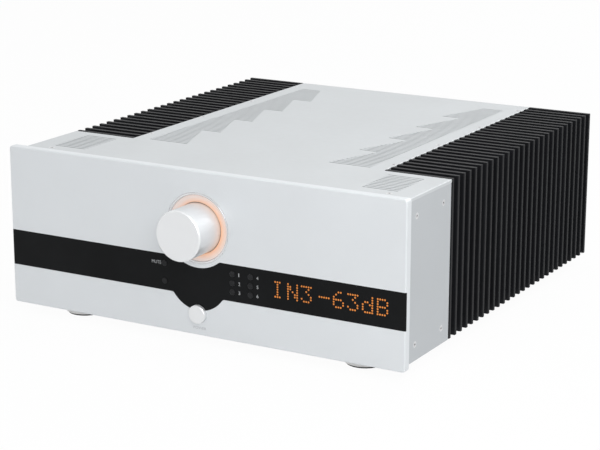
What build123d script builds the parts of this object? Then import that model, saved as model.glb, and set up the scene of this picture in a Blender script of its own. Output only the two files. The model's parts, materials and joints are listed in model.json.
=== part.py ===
"""Integrated power amplifier: a full-width hi-fi chassis with a heatsink along each side.

Millimetres, +Z up, the fascia faces -Y. The origin is on the floor, under the middle of the whole.
"""
import os

from build123d import *

os.makedirs("parts", exist_ok=True)

# ---------------------------------------------------------------- overall sizes
BODY_WIDTH = 435.0  # fascia, side to side
BODY_DEPTH = 448.0  # front of the fascia to the rear edge of the cover
FASCIA_HEIGHT = 159.0
FOOT_HEIGHT = 12.5  # floor to the underside of the chassis
KNOB_REACH = 33.0  # knob, in front of the fascia
TERMINAL_REACH = 29.0  # speaker terminals, behind the rear panel

# ---------------------------------------------------------------- case
FASCIA_THICK = 8.0
FASCIA_CORNER = 3.0
FASCIA_EDGE = 1.5  # rounding all round the front face
FASCIA_DROP = 1.5  # fascia below the underside of the chassis
COVER_STEP = 3.6  # fascia above the cover
SIDE_INSET = 5.9  # cheeks and fin tips, inside the fascia's ends
WING_DEPTH = 102.3  # front of the fascia to the rear face of a cheek's return
COVER_THICK = 3.0
CHEEK_THICK = 3.0
CHEEK_EDGE = 1.0
REAR_THICK = 3.0
BASE_THICK = 2.0
FRAME_THICK = 2.0
FLANGE_THICK = 2.0
FLANGE_REACH = 20.0  # height of the fixing flanges
FLANGE_END = 8.0  # how much shorter a side flange is than its cheek
FRAME_LIP = 25.0  # depth of the front frame's top and bottom lips
LIP_INSET = 6.0  # ends of those lips, inside the frame's ends
SEAT_GAP = 0.2  # sheet metal beside sheet metal
OVERCUT = 1.0  # how far a screw hole's cut runs past its face
TOUCH = 0.01  # points closer than this are the same

# ---------------------------------------------------------------- heatsinks
FIN_COUNT = 28
FIN_THICK = 4.2
FIN_DEPTH = 69.7
FIN_FRONT_GAP = 1.4
FIN_TIP_ROUND = 0.8
SINK_BASE = 8.0
FIN_SEAT = 2.0  # fins sunk into the base plate's grooves

# ---------------------------------------------------------------- cover and base vents
VENT_SLOT = 2.0
VENT_PITCH = 5.2
VENT_OUTER = 17.0  # ends of the long fields, inside the cover's edge
VENT_TIP_LENGTH = 45.0  # longest slot of a tooth
VENT_TOOTH_STEP = 20.0  # how much shorter its slots get
VENT_TOOTH_ROWS = 12
VENT_REAR_MARGIN = 31.0
VENT_WING_START = 37.0  # behind the front of the fascia
VENT_WING_MARGIN = 12.0
VENT_WING_LENGTH = 37.0
VENT_WING_EDGE = 21.6
BASE_SLOT = 3.0
BASE_SLOT_LENGTH = 45.0
BASE_SLOT_GAP = 9.0
BASE_SLOT_PITCH = 10.4
BASE_SLOT_COLUMNS = 3
BASE_SLOT_ROWS = 8

# ---------------------------------------------------------------- screws
SCREW_R = 1.5
SCREW_HEAD_R = SCREW_R + 1.4
SCREW_LENGTH = 7.0
SCREW_SOCKET = 1.1
SCREW_FIT = 0.06
SCREW_SINK = 0.05  # head below the face it is driven into
HEX = 6
FRONT_SCREW_X = 31.5  # inside the fascia's ends
FRONT_SCREW_Y = 27.0
SIDE_SCREW_COUNT = 4
SIDE_SCREW_START = 27.0  # behind the wings
SIDE_SCREW_END = 25.0  # in front of the rear edge
CHEEK_SCREW_Y = (31.5, 86.0)
CHEEK_SCREW_Z = 15.5  # from the cheek's upper and lower edges
REAR_SCREW_EDGE = 8.0  # from the panel's upper and lower edges
REAR_SCREW_X = 15.0  # from the panel's ends
REAR_SCREW_STEP = 52.0
FASCIA_SCREW_LOW = 18.0  # from the fascia's lower edge
FASCIA_SCREW_HIGH = 20.0  # from its upper edge
FASCIA_SCREW_R = 2.0
FASCIA_SCREW_HEAD = FASCIA_SCREW_R + 2.0
FASCIA_SCREW_HEAD_HIGH = 2.4
FASCIA_SCREW_LENGTH = 7.0

# ---------------------------------------------------------------- fascia controls, from its lower edge
KNOB_Z = 104.2
KNOB_R = 24.25
KNOB_WALL = 3.0
KNOB_FACE = 6.0
KNOB_CHAMFER = 1.1
KNOB_BOSS_R = 8.0
KNOB_TAIL = 2.5  # knob behind the fascia's front
RING_BORE_R = KNOB_R + 0.85
RING_R = RING_BORE_R + 6.6
RING_RECESS = 1.8
RING_SEAT_R = RING_R + 8.3
RING_SEAT = 3.0
BEZEL_R = RING_R + 2.6
BEZEL_GAP = 0.2
BEZEL_CHAMFER = 0.7
BEZEL_LINE_R = BEZEL_R - 0.8
STRIP_LOW = 39.0
STRIP_HEIGHT = 35.7
STRIP_THICK = 2.0
STRIP_GAP = 0.08
NOTCH_R = BEZEL_R + 3.7
NOTCH_CORNER = 5.0
BULGE_R = 33.0
BULGE_Z = 57.2
BULGE_CORNER = 4.0
POWER_Z = 21.0
POWER_R = 9.0
POWER_REACH = 3.6
POWER_TRAVEL = 1.8
POWER_FLANGE_R = POWER_R + 1.6
POWER_FLANGE = 1.0
POWER_STEM_R = 3.0
BUTTON_R = 2.8
BUTTON_REACH = 0.8
BUTTON_TRAVEL = 0.8
BUTTON_FLANGE_R = BUTTON_R + 0.7
BUTTON_FLANGE = 1.0
BUTTON_STEM_R = 1.8
BUTTON_FIT = 0.15
MUTE_X = -37.0
INPUT_GAP = 23.3  # display to the nearer column of input buttons
INPUT_PITCH = 19.6
INPUT_ROWS = 3
INPUT_COUNT = 6
BUTTON_PITCH = 8.7
BUTTON_ROW_Z = 56.9
DISPLAY_MARGIN = 15.5  # display, inside the fascia's right end
DISPLAY_WIDTH = 121.0
DISPLAY_HEIGHT = 22.0
DISPLAY_GAP = 0.5
DISPLAY_BOARD = (4.0, 8.0)  # how much wider and taller its board is

# ---------------------------------------------------------------- behind the fascia
ENCODER_SIDE = 16.0
ENCODER_DEPTH = 7.6
SHAFT_R = 3.0
SHAFT_FIT = 0.06
SHAFT_CHAMFER = 0.5
ENCODER_BUSH_R = SHAFT_R + 1.5
NUT_FLATS = 2 * ENCODER_BUSH_R + 5.0
NUT_THICK = 2.4
BOARD_THICK = 1.6
BOARD_EDGE = 6.0  # standoff centres, inside a board's edges
CONTROL_MARGIN = 25.0  # control board beyond the mute button and above the knob's axis
CONTROL_GAP = 5.0  # control board to the display and to the power switch
STANDOFF_R = 2.9
TACT_SIDE = 6.0
TACT_BODY = 3.0
TACT_HEIGHT = 3.5
TACT_CAP_R = 1.6
SWITCH_SIDE = 16.0
SWITCH_DEPTH = 18.0
FLOAT = 0.1  # between a moving face and its stop

# ---------------------------------------------------------------- feet
FOOT_R = 21.0
FOOT_FRONT_X = 158.0
FOOT_FRONT_Y = 38.0
FOOT_REAR_X = 16.0  # inside the heatsinks
FOOT_REAR_Y = 32.0  # in front of the rear edge
FOOT_CHAMFER = 1.2
PAD_R = FOOT_R - 3.0
PAD_THICK = 3.0
PAD_PROUD = 2.0
PAD_ROUND = 0.5
FOOT_SCREW_R = 2.5
FOOT_SCREW_HEAD_R = 4.7
FOOT_SCREW_HEAD = 3.0
FOOT_SCREW_LENGTH = 8.0

# ---------------------------------------------------------------- power supply and amplifier boards
TRANSFORMER_Y = 190.0  # behind the front of the fascia
TRANSFORMER_R = 75.0
TRANSFORMER_BORE_R = 20.0
TRANSFORMER_HEIGHT = 62.0
TRANSFORMER_ROUND = 14.0
CLAMP_R = TRANSFORMER_R - 25.0
CLAMP_THICK = 3.0
CLAMP_CHAMFER = 1.5
BOLT_R = 4.0
BOLT_HEAD = 13.0
BOLT_HEAD_HIGH = 5.5
SUPPLY_WIDTH = 190.0
SUPPLY_DEPTH = 100.0
SUPPLY_Y = 330.0
SUPPLY_LIFT = 6.0
CAN_R = 17.5
CAN_HEIGHT = 50.0
CAN_PITCH = 42.0
CAN_COLUMNS = 4
CAN_ROWS = 2
CAN_ROUND = 1.1
AMP_LENGTH = 250.0
AMP_HEIGHT = 105.0
AMP_Z = 30.0
AMP_Y = 155.0
AMP_STANDOFF = 14.0
CHIP_COUNT = 6
CHIP_PITCH = 40.0
CHIP_WIDTH = 16.0
CHIP_HEIGHT = 21.0
CHIP_THICK = 5.0
CHIP_Z = 55.0

# ---------------------------------------------------------------- rear panel
INLET_Z = 46.0
INLET_WIDTH = 28.0
INLET_HEIGHT = 36.0
INLET_DEPTH = 25.0
INLET_FLANGE = (50.0, 42.0, 2.5)
INLET_SCREW_X = 20.0
SOCKET_WIDTH = 25.0
SOCKET_HEIGHT = 16.6
SOCKET_DEPTH = 17.5
SOCKET_RISE = 7.0  # socket above the middle of the inlet
SOCKET_BEVEL = 4.0
BLADE = (2.0, 4.0)
BLADE_PITCH = 7.0
BLADE_STEP = 2.0
BLADE_LENGTH = 14.0
BLADE_TAIL = 8.0
DRAWER_WIDTH = 24.8
DRAWER_HEIGHT = 8.6
DRAWER_DEPTH = 19.0
DRAWER_TAB = 2.4
DRAWER_DROP = 11.0
DRAWER_FIT = 0.2
FUSE_BAY = (20.8, 6.4)
PHONO_COLUMNS = 5
PHONO_PITCH = 20.0
PHONO_ROWS = (106.0, 128.0)
PHONO_R = 4.15
PHONO_REACH = 9.5
PHONO_FLANGE_R = PHONO_R + 2.05
PHONO_FLANGE = 2.0
PHONO_ROUND = 0.35
PHONO_SHANK_R = PHONO_R + 0.35
PHONO_PIN_R = 1.65
PHONO_PIN_DEPTH = 9.0
INPUT_MARGIN = (28.0, 32.0)  # input board beyond the outer sockets, both ends together
XLR_X = (70.0, 100.0)
XLR_Z = 124.0
XLR_FLANGE = (26.0, 31.0, 2.0)
XLR_R = 11.8
XLR_DEPTH = 22.0
XLR_RING = (7.9, 9.7)
XLR_RING_DEPTH = 14.0
XLR_PIN_R = 1.3
XLR_PIN_CIRCLE = 4.4
XLR_PINS = 3
SPEAKER_X = (78.0, 106.0)
SPEAKER_Z = 52.0
STEM_R = 4.0
STEM_FLANGE_R = STEM_R + 3.0
STEM_FLANGE = 1.5
STEM_TAIL = 16.0
BANANA_R = 2.05
BANANA_DEPTH = 19.0
BUSH_R = STEM_R + 4.5
BUSH_THICK = 3.0
BUSH_SPIGOT_R = STEM_R + 1.6
BUSH_FIT = 0.1
COLLAR_R = STEM_R + 3.8
COLLAR_THICK = 2.4
CAP_R = STEM_R + 4.0
CAP_FLUTES = 12
CAP_FLUTE_R = 0.8
CAP_FIT = 0.06
CAP_MOUTH = 2.0  # cap beyond the end of its stem

# ---------------------------------------------------------------- places worked out from the sizes
HALF = BODY_WIDTH / 2
SIDE_X = HALF - SIDE_INSET
FIN_ROOT = SIDE_X - FIN_DEPTH
SINK_IN = FIN_ROOT - SINK_BASE
CORE_X = SINK_IN - SEAT_GAP
FRONT = -(BODY_DEPTH + TERMINAL_REACH - KNOB_REACH) / 2
REAR = FRONT + BODY_DEPTH
FRAME_Y = FRONT + FASCIA_THICK
FRAME_BACK = FRAME_Y + FRAME_THICK
WING_BACK = FRONT + WING_DEPTH
PANEL_Y = REAR - REAR_THICK
BOARD_Y = FRAME_BACK + ENCODER_DEPTH
CHASSIS_Z = FOOT_HEIGHT
FLOOR_Z = CHASSIS_Z + BASE_THICK
FASCIA_Z = CHASSIS_Z - FASCIA_DROP
FASCIA_TOP = FASCIA_Z + FASCIA_HEIGHT
COVER_TOP = FASCIA_TOP - COVER_STEP
COVER_Z = COVER_TOP - COVER_THICK
KNOB = (0, FASCIA_Z + KNOB_Z)
POWER = (0, FASCIA_Z + POWER_Z)
STRIP_Z = FASCIA_Z + STRIP_LOW
ROW_Z = FASCIA_Z + BUTTON_ROW_Z
DISPLAY = (HALF - DISPLAY_MARGIN - DISPLAY_WIDTH / 2, ROW_Z)
DISPLAY_LEFT = DISPLAY[0] - DISPLAY_WIDTH / 2
BUTTONS = {
    "mute_button": (MUTE_X, ROW_Z + BUTTON_PITCH),
    "dim_button": (MUTE_X, ROW_Z - BUTTON_PITCH),
}
for number in range(INPUT_COUNT):
    column, row = divmod(number, INPUT_ROWS)
    input_x = DISPLAY_LEFT - INPUT_GAP - (1 - column) * INPUT_PITCH
    BUTTONS[f"input_button_{number + 1}"] = (input_x, ROW_Z + (1 - row) * BUTTON_PITCH)
FEET = [(side * FOOT_FRONT_X, FRONT + FOOT_FRONT_Y) for side in (-1, 1)]
FEET += [(side * (SINK_IN - FOOT_REAR_X), REAR - FOOT_REAR_Y) for side in (-1, 1)]


def across(y):
    """Upright plane across the amplifier at depth y: x to the right, z up, facing forwards."""
    return Plane.XZ.offset(-y)


def seats(points, normal):
    """Places on a face for screws or holes that enter it against its normal."""
    return [Plane(origin=point, z_dir=normal).location for point in points]


def save(piece, name):
    """Labels a finished piece and writes its file."""
    piece.label = name
    export_step(piece, f"parts/{name}.step")


def tube(y, outer, inner, length, centre):
    """Plain ring with its front face at depth y."""
    with BuildPart() as ring:
        with BuildSketch(across(y)):
            with Locations(centre):
                Circle(outer)
                Circle(inner, mode=Mode.SUBTRACT)
        extrude(amount=-length)
    return ring.part


# ---------------------------------------------------------------- screw places
side_rows = SIDE_SCREW_COUNT - 1
side_start = WING_BACK + SIDE_SCREW_START
side_step = (REAR - SIDE_SCREW_END - side_start) / side_rows
front_x = HALF - FRONT_SCREW_X
cover_front = [(side * front_x, FRONT + FRONT_SCREW_Y, COVER_TOP) for side in (-1, 1)]
cover_side = [
    (side * (SINK_IN + SINK_BASE / 2), side_start + row * side_step, COVER_TOP)
    for side in (-1, 1)
    for row in range(SIDE_SCREW_COUNT)
]
cover_seats = seats(cover_front + cover_side, (0, 0, 1))
cheek_low = CHASSIS_Z + CHEEK_SCREW_Z
cheek_high = COVER_Z - CHEEK_SCREW_Z
cheek_seats = {
    side: seats(
        [(side * SIDE_X, FRONT + y, z) for y in CHEEK_SCREW_Y for z in (cheek_low, cheek_high)],
        (side, 0, 0),
    )
    for side in (-1, 1)
}
rear_low = FLOOR_Z + REAR_SCREW_EDGE
rear_high = COVER_Z - REAR_SCREW_EDGE
rear_columns = [CORE_X - REAR_SCREW_X - column * REAR_SCREW_STEP for column in range(2)]
rear_seats = seats(
    [(side * x, REAR, z) for side in (-1, 1) for x in rear_columns for z in (rear_low, rear_high)],
    (0, 1, 0),
)
inlet_seats = seats(
    [(side * INLET_SCREW_X, REAR + INLET_FLANGE[2], INLET_Z) for side in (-1, 1)],
    (0, 1, 0),
)
fascia_screws_at = [
    (side * x, z)
    for side in (-1, 1)
    for x in (front_x, HALF / 2)
    for z in (FASCIA_Z + FASCIA_SCREW_LOW, FASCIA_TOP - FASCIA_SCREW_HIGH)
]


# ---------------------------------------------------------------- fascia and its black strip
def strip_outline(length, gap):
    """Strip seen from the front: notched round the knob, bulging down to the power button."""
    top = STRIP_Z + STRIP_HEIGHT - gap
    low = STRIP_Z + gap
    with BuildSketch() as outline:
        with Locations((0, (top + low) / 2)):
            Rectangle(length, top - low)
        with Locations((0, FASCIA_Z + BULGE_Z)):
            Circle(BULGE_R - gap)
        with Locations((0, top + BULGE_R)):
            Rectangle(4 * BULGE_R, 2 * BULGE_R, mode=Mode.SUBTRACT)
        with Locations(KNOB):
            Circle(NOTCH_R + gap, mode=Mode.SUBTRACT)
        inner = outline.vertices().filter_by(lambda vertex: abs(vertex.X) < 2 * BULGE_R)
        fillet(inner.filter_by(lambda vertex: vertex.Y > top - gap / 2), NOTCH_CORNER)
        fillet(inner.filter_by(lambda vertex: abs(vertex.Y - low) < gap / 2 + TOUCH), BULGE_CORNER)
    return outline.sketch


groove = strip_outline(BODY_WIDTH + 2 * FASCIA_EDGE, 0)
window = strip_outline(BODY_WIDTH, STRIP_GAP)

with BuildPart() as front_panel:
    with BuildSketch(across(FRONT)):
        with Locations((0, FASCIA_Z + FASCIA_HEIGHT / 2)):
            RectangleRounded(BODY_WIDTH, FASCIA_HEIGHT, FASCIA_CORNER)
    extrude(amount=-FASCIA_THICK)
    fillet(front_panel.faces().sort_by(Axis.Y)[0].edges(), FASCIA_EDGE)
    with BuildSketch(across(FRONT)):
        add(groove)
    extrude(amount=-STRIP_THICK, mode=Mode.SUBTRACT)
    with BuildSketch(across(FRONT)):
        with Locations(KNOB):
            Circle(BEZEL_R + BEZEL_GAP)
        with Locations(POWER):
            Circle(POWER_R + BUTTON_FIT)
        with Locations(DISPLAY):
            Rectangle(DISPLAY_WIDTH + 2 * DISPLAY_GAP, DISPLAY_HEIGHT + 2 * DISPLAY_GAP)
        with Locations(*BUTTONS.values()):
            Circle(BUTTON_FLANGE_R + 2 * BUTTON_FIT)
    extrude(amount=-FASCIA_THICK, mode=Mode.SUBTRACT)
    with BuildSketch(across(FRAME_Y)):
        with Locations(KNOB):
            Circle(RING_SEAT_R + SEAT_GAP)
        with Locations(POWER):
            Circle(POWER_FLANGE_R + BUTTON_FIT)
    extrude(amount=RING_SEAT, mode=Mode.SUBTRACT)
    with BuildSketch(across(FRAME_Y)):
        with Locations(*fascia_screws_at):
            Circle(FASCIA_SCREW_R + SCREW_FIT)
    extrude(amount=FASCIA_SCREW_LENGTH - FRAME_THICK + SEAT_GAP, mode=Mode.SUBTRACT)
save(front_panel.part, "front_panel")

with BuildPart() as display_window:
    with BuildSketch(across(FRONT)):
        add(window)
        with Locations(POWER):
            Circle(POWER_R + BUTTON_FIT, mode=Mode.SUBTRACT)
        with Locations(*BUTTONS.values()):
            Circle(BUTTON_R + BUTTON_FIT, mode=Mode.SUBTRACT)
    extrude(amount=-STRIP_THICK + STRIP_GAP)
    front_edges = display_window.faces().sort_by(Axis.Y)[0].edges()
    fillet(front_edges.filter_by(lambda edge: abs(edge.center().X) > HALF - 1), FASCIA_EDGE)
save(display_window.part, "display_window")

# ---------------------------------------------------------------- volume knob and the ring round it
with BuildPart() as light_ring:
    add(tube(FRAME_Y - RING_SEAT + FLOAT, RING_SEAT_R, RING_BORE_R, RING_SEAT - FLOAT, KNOB))
    add(tube(FRONT + RING_RECESS, RING_R, RING_BORE_R, FASCIA_THICK - RING_RECESS, KNOB))
save(light_ring.part, "light_ring")

bezel_back = FRAME_Y - RING_SEAT + FLOAT
with BuildPart() as knob_bezel:
    add(tube(FRONT + FLOAT, BEZEL_R, RING_R + BEZEL_GAP, bezel_back - FRONT - FLOAT, KNOB))
    front_rims = knob_bezel.edges().filter_by(GeomType.CIRCLE).group_by(Axis.Y)[0]
    chamfer(front_rims.sort_by(SortBy.RADIUS)[0], BEZEL_CHAMFER)
    with BuildSketch(across(FRONT + FLOAT)):
        with Locations(KNOB):
            Circle(BEZEL_LINE_R + BEZEL_GAP)
            Circle(BEZEL_LINE_R - BEZEL_GAP, mode=Mode.SUBTRACT)
    extrude(amount=-BEZEL_CHAMFER, mode=Mode.SUBTRACT)
save(knob_bezel.part, "knob_bezel")

knob_length = KNOB_REACH + KNOB_TAIL
shaft_front = FRONT - KNOB_REACH + KNOB_FACE
with BuildPart() as volume_knob:
    with BuildSketch(across(FRONT - KNOB_REACH)):
        with Locations(KNOB):
            Circle(KNOB_R)
    extrude(amount=-knob_length)
    chamfer(volume_knob.faces().sort_by(Axis.Y)[0].edges(), KNOB_CHAMFER)
    with BuildSketch(across(FRONT - KNOB_REACH + KNOB_FACE)):
        with Locations(KNOB):
            Circle(KNOB_R - KNOB_WALL)
            Circle(KNOB_BOSS_R, mode=Mode.SUBTRACT)
            Circle(SHAFT_R + SCREW_FIT)
    extrude(amount=-knob_length, mode=Mode.SUBTRACT)
save(volume_knob.part, "volume_knob")

with BuildPart() as encoder_shaft:
    with BuildSketch(across(shaft_front + FLOAT)):
        with Locations(KNOB):
            Circle(SHAFT_R)
    extrude(amount=-(BOARD_Y - BOARD_THICK - shaft_front - FLOAT))
    chamfer(encoder_shaft.faces().sort_by(Axis.Y)[0].edges(), SHAFT_CHAMFER)
save(encoder_shaft.part, "encoder_shaft")

bush_front = FRONT + KNOB_TAIL + SEAT_GAP * 2
with BuildPart() as encoder_body:
    with BuildSketch(across(FRAME_BACK)):
        with Locations(KNOB):
            Rectangle(ENCODER_SIDE, ENCODER_SIDE)
    extrude(amount=-ENCODER_DEPTH)
    with BuildSketch(across(FRAME_BACK)):
        with Locations(KNOB):
            Circle(ENCODER_BUSH_R)
    extrude(amount=FRAME_BACK - bush_front)
    with BuildSketch(across(bush_front)):
        with Locations(KNOB):
            Circle(SHAFT_R + SHAFT_FIT)
    extrude(amount=-(BOARD_Y - BOARD_THICK + FLOAT * 3 - bush_front), mode=Mode.SUBTRACT)
save(encoder_body.part, "encoder_body")

with BuildPart() as encoder_nut:
    with BuildSketch(across(FRAME_Y)):
        with Locations(KNOB):
            RegularPolygon(NUT_FLATS / 2, HEX, major_radius=False)
            Circle(ENCODER_BUSH_R + SCREW_FIT, mode=Mode.SUBTRACT)
    extrude(amount=NUT_THICK)
save(encoder_nut.part, "encoder_nut")

# ---------------------------------------------------------------- power button and its switch
power_flange_front = FRAME_Y - RING_SEAT + FLOAT
power_stem_end = FRAME_BACK + POWER_FLANGE + POWER_TRAVEL
with BuildPart() as power_button:
    with BuildSketch(across(FRONT - POWER_REACH)):
        with Locations(POWER):
            Circle(POWER_R)
    extrude(amount=-(power_flange_front - FRONT + POWER_REACH))
    chamfer(power_button.faces().sort_by(Axis.Y)[0].edges(), KNOB_CHAMFER / 2)
    with BuildSketch(across(power_flange_front)):
        with Locations(POWER):
            Circle(POWER_FLANGE_R)
    extrude(amount=-POWER_FLANGE)
    with BuildSketch(across(power_flange_front)):
        with Locations(POWER):
            Circle(POWER_STEM_R)
    extrude(amount=-(power_stem_end - power_flange_front))
save(power_button.part, "power_button")

with BuildPart() as power_switch:
    with BuildSketch(across(FRAME_BACK)):
        with Locations(POWER):
            Rectangle(SWITCH_SIDE, SWITCH_SIDE)
            Circle(POWER_STEM_R + 2 * BUTTON_FIT, mode=Mode.SUBTRACT)
    extrude(amount=-(power_stem_end + POWER_TRAVEL + FLOAT - FRAME_BACK))
    with BuildSketch(across(power_stem_end + POWER_TRAVEL + FLOAT)):
        with Locations(POWER):
            Rectangle(SWITCH_SIDE, SWITCH_SIDE)
    extrude(amount=-(FRAME_BACK + SWITCH_DEPTH - power_stem_end - POWER_TRAVEL - FLOAT))
save(power_switch.part, "power_switch")

# ---------------------------------------------------------------- small buttons, each with its switch
button_flange_front = FRONT + STRIP_THICK + FLOAT
button_stem_end = BOARD_Y - TACT_HEIGHT - BUTTON_TRAVEL - FLOAT


def small_button(centre):
    """Round cap, the flange that keeps it behind the strip, and the stem to its switch."""
    with BuildPart() as button:
        with BuildSketch(across(FRONT - BUTTON_REACH)):
            with Locations(centre):
                Circle(BUTTON_R)
        extrude(amount=-(button_flange_front - FRONT + BUTTON_REACH))
        fillet(button.faces().sort_by(Axis.Y)[0].edges(), BUTTON_REACH / 2)
        with BuildSketch(across(button_flange_front)):
            with Locations(centre):
                Circle(BUTTON_FLANGE_R)
        extrude(amount=-BUTTON_FLANGE)
        with BuildSketch(across(button_flange_front)):
            with Locations(centre):
                Circle(BUTTON_STEM_R)
        extrude(amount=-(button_stem_end - button_flange_front))
    return button.part


for name, centre in BUTTONS.items():
    save(small_button(centre), name)

with BuildPart() as tact_switches:
    with BuildSketch(across(BOARD_Y)):
        with Locations(*BUTTONS.values()):
            Rectangle(TACT_SIDE, TACT_SIDE)
    extrude(amount=TACT_BODY)
    with BuildSketch(across(BOARD_Y)):
        with Locations(*BUTTONS.values()):
            Circle(TACT_CAP_R)
    extrude(amount=TACT_HEIGHT)
save(tact_switches.part, "tact_switches")

# ---------------------------------------------------------------- control board and display
board_left = MUTE_X - CONTROL_MARGIN
board_right = DISPLAY_LEFT - CONTROL_GAP
board_low = POWER[1] + SWITCH_SIDE / 2 + CONTROL_GAP
board_high = KNOB[1] + CONTROL_MARGIN
board_centre = ((board_left + board_right) / 2, (board_low + board_high) / 2)
board_size = (board_right - board_left, board_high - board_low)


def board_corners(size):
    """Standoff centres of a rectangular board, about its middle."""
    return GridLocations(size[0] - 2 * BOARD_EDGE, size[1] - 2 * BOARD_EDGE, 2, 2)


with BuildPart() as control_board:
    with BuildSketch(across(BOARD_Y)):
        with Locations(board_centre):
            Rectangle(*board_size)
            with board_corners(board_size):
                Circle(SCREW_R, mode=Mode.SUBTRACT)
    extrude(amount=-BOARD_THICK)
save(control_board.part, "control_board")

display_front = FRONT + STRIP_THICK + DISPLAY_GAP
with BuildPart() as display_module:
    with BuildSketch(across(display_front)):
        with Locations(DISPLAY):
            Rectangle(DISPLAY_WIDTH, DISPLAY_HEIGHT)
    extrude(amount=-(FRAME_BACK + DISPLAY_GAP - display_front))
    with BuildSketch(across(FRAME_BACK + DISPLAY_GAP)):
        with Locations(DISPLAY):
            Rectangle(DISPLAY_WIDTH + DISPLAY_BOARD[0], DISPLAY_HEIGHT + DISPLAY_BOARD[1])
    extrude(amount=-BOARD_THICK)
save(display_module.part, "display_module")

# ---------------------------------------------------------------- front frame
frame_x = SIDE_X - CHEEK_THICK - FLANGE_THICK - 2 * SEAT_GAP
lip_x = frame_x - LIP_INSET
window_size = (DISPLAY_WIDTH + 2 * DISPLAY_GAP, DISPLAY_HEIGHT + 2 * DISPLAY_GAP)
with BuildPart() as front_frame:
    with BuildSketch(across(FRAME_Y)):
        with Locations((0, (FLOOR_Z + COVER_Z) / 2)):
            Rectangle(2 * frame_x, COVER_Z - FLOOR_Z)
        with Locations(KNOB):
            Circle(ENCODER_BUSH_R + FLOAT, mode=Mode.SUBTRACT)
        with Locations(POWER):
            Circle(POWER_STEM_R + 4 * BUTTON_FIT, mode=Mode.SUBTRACT)
        with Locations(*BUTTONS.values()):
            Circle(BUTTON_STEM_R + 3 * BUTTON_FIT, mode=Mode.SUBTRACT)
        with Locations(DISPLAY):
            Rectangle(*window_size, mode=Mode.SUBTRACT)
        with Locations(*fascia_screws_at):
            Circle(FASCIA_SCREW_R + FLOAT, mode=Mode.SUBTRACT)
    extrude(amount=-FRAME_THICK)
    with BuildSketch(across(FRAME_Y)):
        with Locations((0, FLOOR_Z + FRAME_THICK / 2), (0, COVER_Z - FRAME_THICK / 2)):
            Rectangle(2 * lip_x, FRAME_THICK)
    extrude(amount=-FRAME_LIP)
    with Locations(*seats([(x, y, COVER_Z) for x, y, z in cover_front], (0, 0, 1))):
        Hole(SCREW_R + SCREW_FIT, depth=SCREW_LENGTH)
save(front_frame.part, "front_frame")

with BuildPart() as fascia_screws:
    with BuildSketch(across(FRAME_BACK)):
        with Locations(*fascia_screws_at):
            Circle(FASCIA_SCREW_R)
    extrude(amount=FASCIA_SCREW_LENGTH)
    with BuildSketch(across(FRAME_BACK)):
        with Locations(*fascia_screws_at):
            Circle(FASCIA_SCREW_HEAD)
    extrude(amount=-FASCIA_SCREW_HEAD_HIGH)
save(fascia_screws.part, "fascia_screws")


# ---------------------------------------------------------------- cheeks: a side and the return behind a wing
def cheek(side):
    """One folded cheek, side = 1 on the right and -1 on the left."""
    with BuildPart() as panel:
        with BuildSketch(Plane.XY.offset(CHASSIS_Z)):
            with Locations((side * (SIDE_X - CHEEK_THICK / 2), (FRAME_Y + WING_BACK) / 2)):
                Rectangle(CHEEK_THICK, WING_BACK - FRAME_Y)
            with Locations((side * (SIDE_X + SINK_IN) / 2, WING_BACK - CHEEK_THICK / 2)):
                Rectangle(SIDE_X - SINK_IN, CHEEK_THICK)
        extrude(amount=COVER_Z - CHASSIS_Z)
        upright = panel.edges().filter_by(Axis.Z)
        bend = upright.filter_by(lambda edge: abs(edge.center().X) > SIDE_X - FLOAT)
        chamfer(bend.sort_by(Axis.Y)[-1], CHEEK_EDGE)
        with Locations(*cheek_seats[side]):
            CounterSinkHole(SCREW_R + SCREW_FIT, SCREW_HEAD_R + SCREW_FIT, depth=CHEEK_THICK + OVERCUT)
    return panel.part


save(cheek(-1), "side_cheek_left")
save(cheek(1), "side_cheek_right")


# ---------------------------------------------------------------- top cover
def vent_rows():
    """Slots of both long saw-toothed fields and both wing fields: inner end, outer end, y."""
    rows = []
    outer = FIN_ROOT - VENT_OUTER
    first = WING_BACK + VENT_PITCH
    for row in range(int((REAR - VENT_REAR_MARGIN - first) / VENT_PITCH) + 1):
        shorter = VENT_TOOTH_STEP * (row % VENT_TOOTH_ROWS) / (VENT_TOOTH_ROWS - 1)
        rows.append((outer - VENT_TIP_LENGTH + shorter, outer, first + row * VENT_PITCH))
    wing_outer = SIDE_X - VENT_WING_EDGE
    first = FRONT + VENT_WING_START
    for row in range(int((WING_BACK - VENT_WING_MARGIN - first) / VENT_PITCH) + 1):
        rows.append((wing_outer - VENT_WING_LENGTH, wing_outer, first + row * VENT_PITCH))
    return rows


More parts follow.
